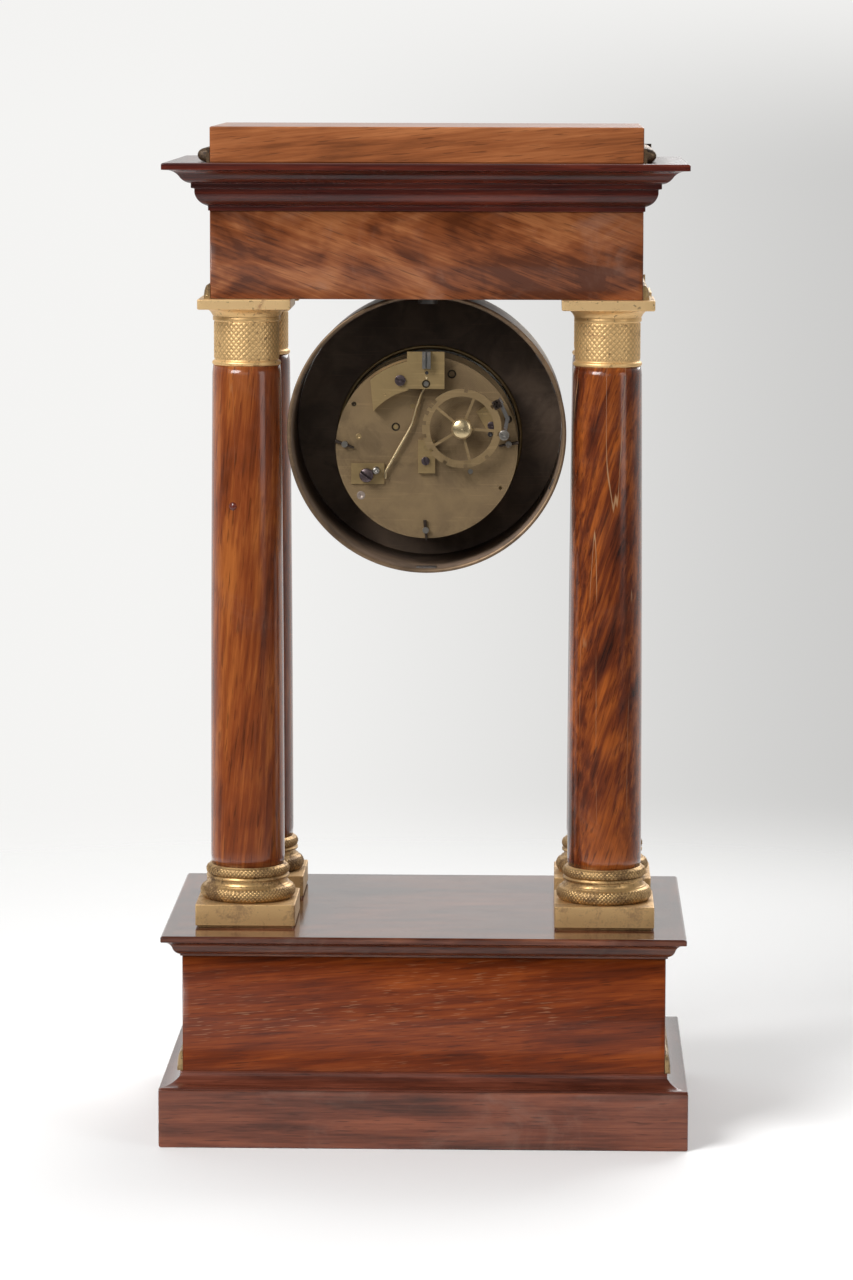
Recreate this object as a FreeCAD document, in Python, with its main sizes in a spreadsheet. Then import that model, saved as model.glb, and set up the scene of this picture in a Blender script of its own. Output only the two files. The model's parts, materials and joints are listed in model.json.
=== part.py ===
"""Four-column portico mantel clock: case, hanging drum, dial door and eight-day striking movement.

Frame: +Z up, the dial faces -Y, the movement's back plate faces +Y, and the origin is the
centre of the plinth's underside.  Millimetres throughout.
"""
import FreeCAD, Part
import math
import os
from types import SimpleNamespace

import Sketcher

Vector = FreeCAD.Vector
os.makedirs("parts", exist_ok=True)
doc = FreeCAD.newDocument("mantel_clock")

# ---------------------------------------------------------------------------------------------
# Driving dimensions
# ---------------------------------------------------------------------------------------------
SIZES = {
    # base box
    "base_margin_x": 11.0,
    "base_margin_y": 27.4,
    "plinth_height": 29.0,
    "plinth_overhang": 11.3,
    "plinth_wall": 20.0,
    "moulding_height": 7.5,
    "moulding_lip": 1.2,
    "panel_height": 65.2,
    "panel_wall": 9.0,
    "slab_height": 11.2,
    "slab_edge": 3.0,
    "slab_overhang": 10.0,
    # columns
    "drum_to_shaft": 1.7,
    "column_pitch_y": 82.3,
    "block_side": 49.3,
    "block_height": 11.7,
    "ring_height": 17.2,
    "lower_torus_radius": 23.2,
    "upper_torus_radius": 20.6,
    "scotia_radius": 20.3,
    "shaft_foot_radius": 18.35,
    "shaft_top_radius": 16.9,
    "shaft_length": 248.7,
    "neck_radius": 15.8,
    "neck_ring_radius": 16.7,
    "neck_height": 22.0,
    "echinus_radius": 20.4,
    "capital_turning": 28.0,
    "abacus_side": 45.5,
    "abacus_height": 5.0,
    "rod_radius": 2.5,
    "rod_bore_gap": 0.5,
    "nut_radius": 5.0,
    "nut_height": 4.0,
    # entablature
    "beam_reach_x": 33.7,
    "beam_reach_y": 31.9,
    "beam_height": 43.0,
    "beam_wall": 9.0,
    "soffit_thickness": 10.0,
    "cornice_height": 23.5,
    "cornice_edge": 3.4,
    "cornice_overhang": 22.0,
    "cornice_ledge": 12.0,
    "attic_height": 17.3,
    # gilt borders
    "attic_bead": 7.0,
    "beam_border_height": 7.0,
    "beam_border_thickness": 3.4,
    "base_border_height": 9.5,
    "base_border_thickness": 3.0,
    # drum
    "drum_radius": 68.0,
    "drum_wall": 1.4,
    "rim_swell": 0.8,
    "rim_width": 2.4,
    "rim_length": 2.2,
    "drum_length": 69.0,
    "drum_recess": 1.5,
    "drum_gap": 0.3,
    "rear_bolt_inset": 20.0,
    "front_bolt_inset": 16.0,
    "drum_front_thickness": 2.0,
    "front_opening_gap": 0.4,
    # dial and dial door
    "dial_radius": 49.5,
    "dial_thickness": 2.0,
    "bezel_radius": 61.5,
    "bezel_sight_radius": 50.5,
    "bezel_thickness": 10.0,
    "glass_seat": 7.0,
    "glass_thickness": 1.6,
    "glass_rise": 4.0,
    "hinge_radius": 2.2,
    "hinge_length": 26.0,
    "minute_hand_length": 43.0,
    "hour_hand_length": 28.0,
    "hand_thickness": 0.8,
    # movement frame
    "movement_drop": 7.2,
    "plate_radius": 44.9,
    "plate_thickness": 2.4,
    "plate_inset": 6.0,
    "plate_spacing": 40.0,
    "pillar_radius": 2.5,
    "pivot_gap": 0.05,
    "arbor_radius": 1.2,
    "centre_arbor_radius": 1.9,
    "winding_radius": 2.4,
    "winding_hole_radius": 3.2,
    "bridge_thickness": 7.5,
    "bridge_lift": 4.5,
    "crutch_wire_radius": 0.7,
    "countwheel_radius": 19.5,
    "countwheel_rim": 3.7,
    "countwheel_thickness": 1.6,
    "countwheel_lift": 6.0,
}


class Size:
    """A length that carries both its number and the expression that a property is bound to."""

    def __init__(self, value, text):
        self.value = float(value)
        self.text = text

    def __add__(self, other):
        return Size(self.value + number(other), f"({self.text} + {text(other)})")

    def __sub__(self, other):
        return Size(self.value - number(other), f"({self.text} - {text(other)})")

    def __mul__(self, other):
        return Size(self.value * number(other), f"({self.text} * {text(other)})")

    def __truediv__(self, other):
        return Size(self.value / number(other), f"({self.text} / {text(other)})")

    def __radd__(self, other):
        return Size(number(other) + self.value, f"({text(other)} + {self.text})")

    def __rsub__(self, other):
        return Size(number(other) - self.value, f"({text(other)} - {self.text})")

    def __neg__(self):
        return Size(-self.value, f"(0 - {self.text})")


def number(value):
    """The number of a Size or of a plain number."""
    return value.value if isinstance(value, Size) else float(value)


def text(value):
    """The expression of a Size or of a plain number."""
    return value.text if isinstance(value, Size) else f"({value})"


sheet = doc.addObject("Spreadsheet::Sheet", "Sizes")
for row, (alias, value) in enumerate(SIZES.items(), 1):
    sheet.set(f"A{row}", alias)
    sheet.set(f"B{row}", str(value))
    sheet.setAlias(f"B{row}", alias)
doc.recompute()
d = SimpleNamespace(**{alias: Size(value, f"Sizes.{alias}") for alias, value in SIZES.items()})

# ---------------------------------------------------------------------------------------------
# Places that follow from the driving dimensions
# ---------------------------------------------------------------------------------------------
panel_top = d.plinth_height + d.panel_height
slab_top = panel_top + d.slab_height
shaft_foot = slab_top + d.block_height + d.ring_height
shaft_top = shaft_foot + d.shaft_length
beam_foot = shaft_top + d.capital_turning + d.abacus_height
beam_top = beam_foot + d.beam_height
attic_foot = beam_top + d.cornice_height
rim_radius = d.drum_radius + d.rim_swell
column_x = rim_radius + d.shaft_foot_radius + d.drum_to_shaft
column_y = d.column_pitch_y / 2
rod_bore = d.rod_radius + d.rod_bore_gap
base_width = column_x * 2 + d.block_side + d.base_margin_x
base_depth = d.column_pitch_y + d.block_side + d.base_margin_y
beam_width = column_x * 2 + d.beam_reach_x
beam_depth = d.column_pitch_y + d.beam_reach_y

drum_axis_z = beam_foot + d.drum_recess - d.drum_radius
drum_rear_y = beam_depth / 2 - d.beam_wall - d.drum_gap
drum_front_y = drum_rear_y - d.drum_length
movement_z = drum_axis_z - d.movement_drop
back_plate_y = drum_rear_y - d.plate_inset
front_plate_y = back_plate_y - d.plate_thickness - d.plate_spacing
dial_y = drum_front_y - d.drum_gap
bezel_y = drum_front_y - d.drum_gap

# Places on the movement, (right, up) from its axis as seen from the dial
GOING_BARREL = (21.6, -11.8)
STRIKE_BARREL = (-21.6, -11.8)
THIRD_WHEEL = (15.3, 10.2)
ESCAPE_WHEEL = (7.0, 20.5)
PALLETS = (0.2, 32.0)
SECOND_WHEEL = (-17.4, 10.1)
PIN_WHEEL = (-28.65, 17.1)
DETENT = (-38.2, 6.9)
MINUTE_WHEEL = (0.0, 14.4)
MOTION_LENGTH = 8.0
# Pillars: place and how far the nose stands behind the back plate
PILLARS = [(40.5, 1.6, 2.6), (-40.4, 1.9, 2.6), (0.4, -40.8, 2.6), (20.5, 35.6, 0)]
PIN_LEANS = [70, -80, 5]
# Holes left open in the back plate: place and radius
SPARE_HOLES = [(36.4, 21.5, 0.8), (-12.3, 36.3, 1.4), (-40.2, 14.1, 1.0), (-36.4, -19.8, 0.9)]
TEETH = {
    "going_great": 80, "centre_pinion": 20,
    "centre": 80, "third_pinion": 10,
    "third": 60, "escape_pinion": 10,
    "cannon": 24, "minute": 72,
    "minute_pinion": 18, "hour": 72,
    "strike_great": 84, "second_pinion": 14,
    "second": 60, "pin_pinion": 10,
    "pin_wheel": 48, "escape": 30, "ratchet": 16,
}
HAND_MINUTES = 10
HAND_HOURS = 10
SPOKE_START = 40.0
FINGER_ANGLE = 144.4
DETENT_ELBOW = (-1.6, 8.2)
ESCAPE_TIP = 9.4
# Centre line of the crutch wire, from the pallet arbor
CRUTCH_BENDS = [(0.9, -1.9), (2.2, -4.7), (5.1, -13.5), (7.0, -20.4), (19.8, -43.6), (20.0, -47.2)]

NODES = []


# ---------------------------------------------------------------------------------------------
# Drawing helpers
# ---------------------------------------------------------------------------------------------
def bind(thing, name, value):
    """Give a property its value, bound to the sheet when the value is a Size."""
    if isinstance(value, Size):
        thing.setExpression(name, value.text)
    else:
        thing.setExpression(name, str(value))


def place(thing, x=0, y=0, z=0):
    """Move an object to a point whose coordinates follow the sheet."""
    for axis, value in (("x", x), ("y", y), ("z", z)):
        bind(thing, f"Placement.Base.{axis}", value)


def node(thing, label):
    """Register an object as a sub-part, under the name of its file."""
    thing.Label = label
    NODES.append(thing)
    return thing


def new_body(label):
    """A PartDesign body that is a sub-part of its own."""
    return node(doc.addObject("PartDesign::Body", label), label)


def new_sketch(body, role, offset=0):
    """A sketch on one of the body's origin planes, moved along the plane's normal by offset."""
    sketch = body.newObject("Sketcher::SketchObject", f"{body.Name}_sketch")
    plane = next(item for item in body.Origin.OriginFeatures if item.Role == role)
    sketch.AttachmentSupport = [(plane, "")]
    sketch.MapMode = "FlatFace"
    bind(sketch, "AttachmentOffset.Base.z", offset)
    return sketch


def limit(sketch, kind, *values):
    """Add one dimension to a sketch and bind it to the sheet."""
    size = values[-1]
    index = sketch.addConstraint(Sketcher.Constraint(kind, *values[:-1], number(size)))
    if isinstance(size, Size):
        sketch.setExpression(f"Constraints[{index}]", size.text)


def pin(sketch, item, end, x, y):
    """Fix one point of a sketch by its distances from the sketch's origin."""
    for kind, axis, size in (("DistanceX", -2, x), ("DistanceY", -1, y)):
        if not isinstance(size, Size) and size == 0:
            sketch.addConstraint(Sketcher.Constraint("PointOnObject", item, end, axis))
        else:
            limit(sketch, kind, item, end, size)


def draw_circle(sketch, x, y, radius):
    """A circle with a pinned centre."""
    circle = Part.Circle(Vector(number(x), number(y), 0), Vector(0, 0, 1), number(radius))
    item = sketch.addGeometry(circle)
    pin(sketch, item, 3, x, y)
    limit(sketch, "Radius", item, radius)


def bent_edge(start, end, radius, side):
    """The short arc from start to end, its centre left of the way (side 1) or right (side -1)."""
    chord = end - start
    middle = (start + end) * 0.5
    reach = math.sqrt(max(radius ** 2 - chord.Length ** 2 / 4, 0))
    across = Vector(-chord.y, chord.x, 0).normalize()
    centre = middle + across * (reach * side)
    first, last = (start, end) if side > 0 else (end, start)
    angles = [math.atan2(point.y - centre.y, point.x - centre.x) for point in (first, last)]
    circle = Part.Circle(centre, Vector(0, 0, 1), radius)
    return Part.ArcOfCircle(circle, *angles)


def draw_outline(sketch, corners):
    """A closed outline.  A corner is (x, y), or (x, y, radius, side) where the edge that ends
    there is an arc of that radius with its centre on that side of the way."""
    edges = []
    for index, corner in enumerate(corners):
        before = corners[index - 1]
        start = Vector(number(before[0]), number(before[1]), 0)
        end = Vector(number(corner[0]), number(corner[1]), 0)
        if len(corner) == 2:
            edges.append((sketch.addGeometry(Part.LineSegment(start, end)), 1, 2))
            continue
        radius, side = corner[2], corner[3]
        item = sketch.addGeometry(bent_edge(start, end, number(radius), side))
        limit(sketch, "Radius", item, radius)
        edges.append((item, 1, 2) if side > 0 else (item, 2, 1))
    for index, (item, _, end) in enumerate(edges):
        following = edges[(index + 1) % len(edges)]
        sketch.addConstraint(Sketcher.Constraint("Coincident", item, end, following[0], following[1]))
        pin(sketch, item, end, corners[index][0], corners[index][1])


def draw_rectangle(sketch, width, depth):
    """A rectangle centred on the sketch's origin."""
    draw_outline(sketch, [
        (-width / 2, -depth / 2),
        (width / 2, -depth / 2),
        (width / 2, depth / 2),
        (-width / 2, depth / 2),
    ])


def pad(body, sketch, length):
    """Raise a sketch along its plane's normal."""
    feature = body.newObject("PartDesign::Pad", f"{body.Name}_pad")
    feature.Profile = sketch
    bind(feature, "Length", length)
    return feature


def pocket(body, sketch, length):
    """Cut a sketch into the body along its plane's normal."""
    feature = body.newObject("PartDesign::Pocket", f"{body.Name}_pocket")
    feature.Profile = sketch
    feature.Reversed = True
    bind(feature, "Length", length)
    return feature


def revolve(body, sketch):
    """Turn a sketch once round its vertical axis."""
    feature = body.newObject("PartDesign::Revolution", f"{body.Name}_turning")
    feature.Profile = sketch
    feature.ReferenceAxis = (sketch, ["V_Axis"])
    feature.Angle = 360
    return feature


def board(label, width, depth, height, x, y, z, holes=()):
    """A plain board centred on x and y with its underside at z, with upright holes."""
    body = new_body(label)
    sketch = new_sketch(body, "XY_Plane")
    draw_rectangle(sketch, width, depth)
    for hole_x, hole_y, radius in holes:
        draw_circle(sketch, hole_x, hole_y, radius)
    pad(body, sketch, height)
    place(body, x, y, z)
    return body


def mirrored(profile):
    """A right-hand profile, read from foot to top, closed by its own mirror image."""
    left = []
    for index in range(len(profile) - 1, -1, -1):
        corner = profile[index]
        above = profile[index + 1] if index + 1 < len(profile) else ()
        bend = tuple(above[2:])
        left.append((-corner[0], corner[1]) + bend)
    return list(profile) + left


def section(name, profile, half_width, turn, length):
    """A moulding's cross-section, run straight through the whole block."""
    sketch = doc.addObject("Sketcher::SketchObject", f"{name}_section")
    across = [(half_width + corner[0], *corner[1:]) for corner in profile]
    draw_outline(sketch, mirrored(across))
    sketch.Placement = FreeCAD.Placement(Vector(), turn)
    run = doc.addObject("Part::Extrusion", f"{name}_run")
    run.Base = sketch
    run.DirMode = "Normal"
    run.Symmetric = True
    run.Solid = True
    bind(run, "LengthFwd", length)
    return run


def moulded_block(label, width, depth, profile, foot, hollow=None, open_rear=False, holes=()):
    """A block whose edge carries the same moulding on every side, mitred at its corners.

    profile lists (overhang, height) from the foot up.  hollow is the inner (width, depth).
    """
    reach = (profile_reach(profile) + profile[-1][1]) * 2
    along_y = section(
        f"{label}_x", profile, width / 2, FreeCAD.Rotation(Vector(1, 0, 0), 90), depth + reach)
    upright = FreeCAD.Rotation(Vector(0, 0, 1), 90) * FreeCAD.Rotation(Vector(1, 0, 0), 90)
    along_x = section(f"{label}_y", profile, depth / 2, upright, width + reach)
    block = doc.addObject("Part::Common", f"{label}_block")
    block.Base = along_y
    block.Tool = along_x
    tools = []
    if hollow:
        core = doc.addObject("Part::Box", f"{label}_core")
        bind(core, "Length", hollow[0])
        bind(core, "Width", hollow[1])
        bind(core, "Height", profile[-1][1] + 2)
        place(core, -hollow[0] / 2, -hollow[1] / 2, -1)
        tools.append(core)
    if open_rear:
        rear = doc.addObject("Part::Box", f"{label}_rear")
        bind(rear, "Length", width + reach * 2)
        bind(rear, "Width", reach)
        bind(rear, "Height", profile[-1][1] + 2)
        place(rear, -width / 2 - reach, depth / 2, -1)
        tools.append(rear)
    for index, (hole_x, hole_y, radius) in enumerate(holes):
        hole = doc.addObject("Part::Cylinder", f"{label}_hole_{index}")
        bind(hole, "Radius", radius)
        bind(hole, "Height", profile[-1][1] + 2)
        place(hole, hole_x, hole_y, -1)
        tools.append(hole)
    for index, tool in enumerate(tools):
        cut = doc.addObject("Part::Cut", f"{label}_cut_{index}")
        cut.Base = block
        cut.Tool = tool
        block = cut
    place(block, 0, 0, foot)
    return node(block, label)


def profile_reach(profile):
    """The largest overhang of a moulding's profile."""
    return max((corner[0] for corner in profile), key=number)


def group(label, members):
    """Identical pieces kept as separate solids of one sub-part."""
    for member in members:
        if member in NODES:
            NODES.remove(member)
    compound = doc.addObject("Part::Compound", label)
    compound.Links = members
    return node(compound, label)


# ---------------------------------------------------------------------------------------------
# Base
# ---------------------------------------------------------------------------------------------
inner_depth = base_depth - d.panel_wall * 2


def column_places():
    """Name and centre of each column."""
    places = []
    for depth_name, side_y in (("rear", 1), ("front", -1)):
        for side_name, side_x in (("left", -1), ("right", 1)):
            places.append((f"{depth_name}_{side_name}", column_x * side_x, column_y * side_y))
    return places


def build_base():
    """Plinth frame, its moulding, the four panels and the moulded slab that carries the columns."""
    plinth = new_body("plinth")
    sketch = new_sketch(plinth, "XY_Plane")
    outer_width = base_width + d.plinth_overhang * 2
    outer_depth = base_depth + d.plinth_overhang * 2
    draw_rectangle(sketch, outer_width, outer_depth)
    draw_rectangle(sketch, outer_width - d.plinth_wall * 2, outer_depth - d.plinth_wall * 2)
    pad(plinth, sketch, d.plinth_height)

    lip_foot = d.moulding_height * 0.7
    moulded_block("plinth_moulding", base_width, base_depth, [
        (d.plinth_overhang, 0),
        (d.plinth_overhang, 0.6),
        (d.plinth_overhang * 0.55, lip_foot * 0.5, d.plinth_overhang * 0.6, 1),
        (d.moulding_lip, lip_foot, d.plinth_overhang * 0.6, -1),
        (d.moulding_lip, d.moulding_height),
    ], d.plinth_height, hollow=(base_width, base_depth))

    wall_y = base_depth / 2 - d.panel_wall / 2
    wall_x = base_width / 2 - d.panel_wall / 2
    for label, y in (("base_back_panel", wall_y), ("base_front_panel", -wall_y)):
        board(label, base_width, d.panel_wall, d.panel_height, 0, y, d.plinth_height)
    group("base_side_panels", [
        board(name, d.panel_wall, inner_depth, d.panel_height, x, 0, d.plinth_height)
        for name, x in (("base_left_board", -wall_x), ("base_right_board", wall_x))
    ])

    edge_foot = d.slab_height - d.slab_edge
    moulded_block("base_top", base_width, base_depth, [
        (0, 0),
        (1.0, 0),
        (1.0, 0.8),
        (d.slab_overhang * 0.45, edge_foot * 0.52, d.slab_overhang * 0.5, -1),
        (d.slab_overhang - 0.9, edge_foot, d.slab_overhang * 0.5, 1),
        (d.slab_overhang, edge_foot),
        (d.slab_overhang, d.slab_height),
    ][1:], panel_top, holes=[(x, y, rod_bore) for _, x, y in column_places()])


# ---------------------------------------------------------------------------------------------
# Columns
# ---------------------------------------------------------------------------------------------
def build_column_base(name, x, y):
    """Square block with two tori and a scotia between them, cast and turned in one piece."""
    body = new_body(f"column_base_{name}")
    square = new_sketch(body, "XY_Plane")
    draw_rectangle(square, d.block_side, d.block_side)
    draw_circle(square, 0, 0, rod_bore)
    pad(body, square, d.block_height)

    turning = new_sketch(body, "XZ_Plane")
    torus = d.ring_height * 0.41
    waist = d.ring_height * 0.69
    low_swell = 1.6
    high_swell = 1.3
    draw_outline(turning, [
        (rod_bore, d.block_height),
        (d.lower_torus_radius - low_swell, d.block_height),
        (d.lower_torus_radius - low_swell, d.block_height + torus, 4.74, 1),
        (d.scotia_radius, d.block_height + waist - 1.5, 4.2, -1),
        (d.scotia_radius, d.block_height + waist),
        (d.upper_torus_radius - high_swell, d.block_height + waist),
        (d.upper_torus_radius - high_swell, d.block_height + d.ring_height, 3.4, 1),
        (rod_bore, d.block_height + d.ring_height),
    ])
    revolve(body, turning)
    place(body, x, y, slab_top)


def build_shaft(name, x, y):
    """Plain tapering shaft, bored for the tie rod."""
    body = new_body(f"column_shaft_{name}")
    turning = new_sketch(body, "XZ_Plane")
    draw_outline(turning, [
        (rod_bore, 0),
        (d.shaft_foot_radius, 0),
        (d.shaft_top_radius, d.shaft_length),
        (rod_bore, d.shaft_length),
    ])
    revolve(body, turning)
    place(body, x, y, shaft_foot)


def build_capital(name, x, y):
    """Neck between two rings, a flaring echinus and the square abacus."""
    body = new_body(f"column_capital_{name}")
    turning = new_sketch(body, "XZ_Plane")
    ring = 2.0
    draw_outline(turning, [
        (rod_bore, 0),
        (d.neck_ring_radius - 0.5, 0),
        (d.neck_ring_radius - 0.5, ring, 1.25, 1),
        (d.neck_radius, ring),
        (d.neck_radius, d.neck_height),
        (d.neck_radius + 0.8, d.neck_height),
        (d.neck_radius + 0.8, d.neck_height + ring),
        (d.echinus_radius, d.capital_turning, 5.5, -1),
        (rod_bore, d.capital_turning),
    ])
    revolve(body, turning)
    square = new_sketch(body, "XY_Plane", d.capital_turning)
    draw_rectangle(square, d.abacus_side, d.abacus_side)
    draw_circle(square, 0, 0, rod_bore)
    pad(body, square, d.abacus_height)
    place(body, x, y, shaft_top)


def build_tie_rod(name, x, y):
    """Steel rod with a nut under the base slab and one over the soffit."""
    rod_foot = panel_top - d.nut_height * 2
    rod_top = beam_foot + d.soffit_thickness + d.nut_height * 2
    rod = doc.addObject("Part::Cylinder", f"rod_{name}")
    bind(rod, "Radius", d.rod_radius)
    bind(rod, "Height", rod_top - rod_foot)
    place(rod, x, y, rod_foot)
    joined = rod
    for end, z in (("low", panel_top - d.nut_height), ("high", beam_foot + d.soffit_thickness)):
        nut = doc.addObject("Part::Prism", f"nut_{end}_{name}")
        nut.Polygon = 6
        bind(nut, "Circumradius", d.nut_radius)
        bind(nut, "Height", d.nut_height)
        place(nut, x, y, z)
        fused = doc.addObject("Part::Fuse", f"rod_{end}_{name}")
        fused.Base = joined
        fused.Tool = nut
        joined = fused
    return joined


# ---------------------------------------------------------------------------------------------
# Entablature
# ---------------------------------------------------------------------------------------------
def build_entablature():
    """Architrave boards, the soffit that the drum hangs from, the cornice and the attic."""
    wall_y = beam_depth / 2 - d.beam_wall / 2
    wall_x = beam_width / 2 - d.beam_wall / 2
    inner_beam_width = beam_width - d.beam_wall * 2
    inner_beam_depth = beam_depth - d.beam_wall * 2
    for label, y in (("architrave_back", wall_y), ("architrave_front", -wall_y)):
        board(label, beam_width, d.beam_wall, d.beam_height, 0, y, beam_foot)
    group("architrave_sides", [
        board(name, d.beam_wall, inner_beam_depth, d.beam_height, x, 0, beam_foot)
        for name, x in (("architrave_left_board", -wall_x), ("architrave_right_board", wall_x))
    ])

    rod_holes = [(x, y, rod_bore) for _, x, y in column_places()]
    bolt_holes = [(0, y, d.rod_radius) for y in drum_bolt_places()]
    soffit = board("soffit_board", inner_beam_width, inner_beam_depth, d.soffit_thickness,
                   0, 0, beam_foot, rod_holes + bolt_holes)
    trough = new_sketch(soffit, "XZ_Plane", -inner_beam_depth / 2)
    draw_circle(trough, 0, drum_axis_z - beam_foot, rim_radius + d.drum_gap)
    pocket(soffit, trough, inner_beam_depth)

    edge_foot = d.cornice_height - d.cornice_edge
    moulded_block("cornice", beam_width, beam_depth, [
        (0.8, 0),
        (0.8, 2.2),
        (2.6, 3.0),
        (7.0, 9.0, 8.0, -1),
        (7.0, 10.8),
        (8.6, 11.2),
        (8.6, 13.5),
        (d.cornice_overhang * 0.62, edge_foot - 3.6, 7.5, -1),
        (d.cornice_overhang - 1.6, edge_foot, 7.5, 1),
        (d.cornice_overhang, edge_foot),
        (d.cornice_overhang, d.cornice_height),
    ], beam_top, hollow=(beam_width - d.cornice_ledge * 2, beam_depth - d.cornice_ledge * 2))
    board("attic_block", beam_width, beam_depth, d.attic_height, 0, 0, attic_foot)


def build_borders():
    """Gilt borders that run round the front and both sides and stop at the back."""
    bead = d.attic_bead
    moulded_block("attic_border", beam_width, beam_depth, [
        (bead * 0.45, 0),
        (bead * 0.45, bead, bead * 0.51, 1),
    ], attic_foot, hollow=(beam_width, beam_depth), open_rear=True)
    thickness = d.beam_border_thickness
    height = d.beam_border_height
    moulded_block("architrave_border", beam_width, beam_depth, [
        (thickness * 0.55, 0),
        (thickness, height * 0.2),
        (thickness, height * 0.55),
        (thickness * 0.35, height),
    ], beam_foot, hollow=(beam_width, beam_depth), open_rear=True)
    thickness = d.base_border_thickness
    height = d.base_border_height
    moulded_block("base_border", base_width, base_depth, [
        (thickness * 0.6, 0),
        (thickness, height * 0.2),
        (thickness, height * 0.5),
        (thickness * 0.3, height),
    ], d.plinth_height + d.moulding_height, hollow=(base_width, base_depth), open_rear=True)


# ---------------------------------------------------------------------------------------------
# Drum, dial and dial door
# ---------------------------------------------------------------------------------------------
def drum_bolt_places():
    """Where along Y the two bolts hang the drum from the soffit."""
    return [drum_rear_y - d.rear_bolt_inset, drum_front_y + d.front_bolt_inset]


def turned(label, profile, x, y, z):
    """A body turned about a front-to-back axis; profile lists (radius, distance to the front)."""
    body = new_body(label)
    sketch = new_sketch(body, "XY_Plane")
    corners = []
    for corner in profile:
        bend = (corner[2], -corner[3]) if len(corner) == 4 else ()
        corners.append((corner[0], -corner[1]) + bend)
    draw_outline(sketch, corners)
    revolve(body, sketch)
    place(body, x, y, z)
    return body


def build_drum():
    """Brass drum with a rolled rear rim, and the wall that closes its front round the movement."""
    inner = d.drum_radius - d.drum_wall
    rim_inner = rim_radius - d.rim_width
    shell = turned("drum_shell", [
        (rim_inner, 0),
        (rim_radius, 0),
        (rim_radius, d.rim_length),
        (d.drum_radius, d.rim_length),
        (d.drum_radius, d.drum_length),
        (inner, d.drum_length),
        (inner, d.rim_length),
        (rim_inner, d.rim_length),
    ], 0, drum_rear_y, drum_axis_z)
    bolts = new_sketch(shell, "XY_Plane")
    for y in drum_bolt_places():
        draw_circle(bolts, 0, y - drum_rear_y, d.rod_radius)
    pocket(shell, bolts, rim_radius)

    wall = new_body("drum_front_plate")
    sketch = new_sketch(wall, "XZ_Plane")
    draw_circle(sketch, 0, 0, inner - d.pivot_gap)
    draw_circle(sketch, 0, -d.movement_drop, d.plate_radius + d.front_opening_gap)
    pad(wall, sketch, d.drum_front_thickness)
    place(wall, 0, drum_front_y + d.drum_front_thickness, drum_axis_z)

    bolts = []
    for index, y in enumerate(drum_bolt_places()):
        head_z = drum_axis_z + inner - d.nut_height * 0.6 - 1.2
        shank = doc.addObject("Part::Cylinder", f"drum_bolt_shank_{index}")
        bind(shank, "Radius", d.rod_radius - d.pivot_gap)
        bind(shank, "Height", beam_foot + d.soffit_thickness + d.nut_height * 1.5 - head_z)
        place(shank, 0, y, head_z)
        head = doc.addObject("Part::Cylinder", f"drum_bolt_head_{index}")
        bind(head, "Radius", d.nut_radius)
        bind(head, "Height", d.nut_height * 0.6)
        place(head, 0, y, head_z)
        nut = doc.addObject("Part::Prism", f"drum_bolt_nut_{index}")
        nut.Polygon = 6
        bind(nut, "Circumradius", d.nut_radius)
        bind(nut, "Height", d.nut_height)
        place(nut, 0, y, beam_foot + d.soffit_thickness)
        lower = doc.addObject("Part::Fuse", f"drum_bolt_lower_{index}")
        lower.Base = shank
        lower.Tool = head
        whole = doc.addObject("Part::Fuse", f"drum_bolt_whole_{index}")
        whole.Base = lower
        whole.Tool = nut
        bolts.append(whole)
    group("drum_bolts", bolts)


def build_dial():
    """Enamel dial with its centre and winding holes."""
    body = new_body("dial")
    sketch = new_sketch(body, "XZ_Plane")
    draw_circle(sketch, 0, 0, d.dial_radius)
    draw_circle(sketch, 0, 0, d.centre_arbor_radius + 2.1)
    for x, z in (GOING_BARREL, STRIKE_BARREL):
        draw_circle(sketch, x, z, d.winding_hole_radius)
    pad(body, sketch, d.dial_thickness)
    place(body, 0, dial_y, movement_z)


hinge_x = d.bezel_radius + d.hinge_radius + 0.8
hinge_y = bezel_y - d.hinge_radius - 0.8
knuckle_length = d.hinge_length / 3
hinge_bore = d.hinge_radius * 0.45


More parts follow.
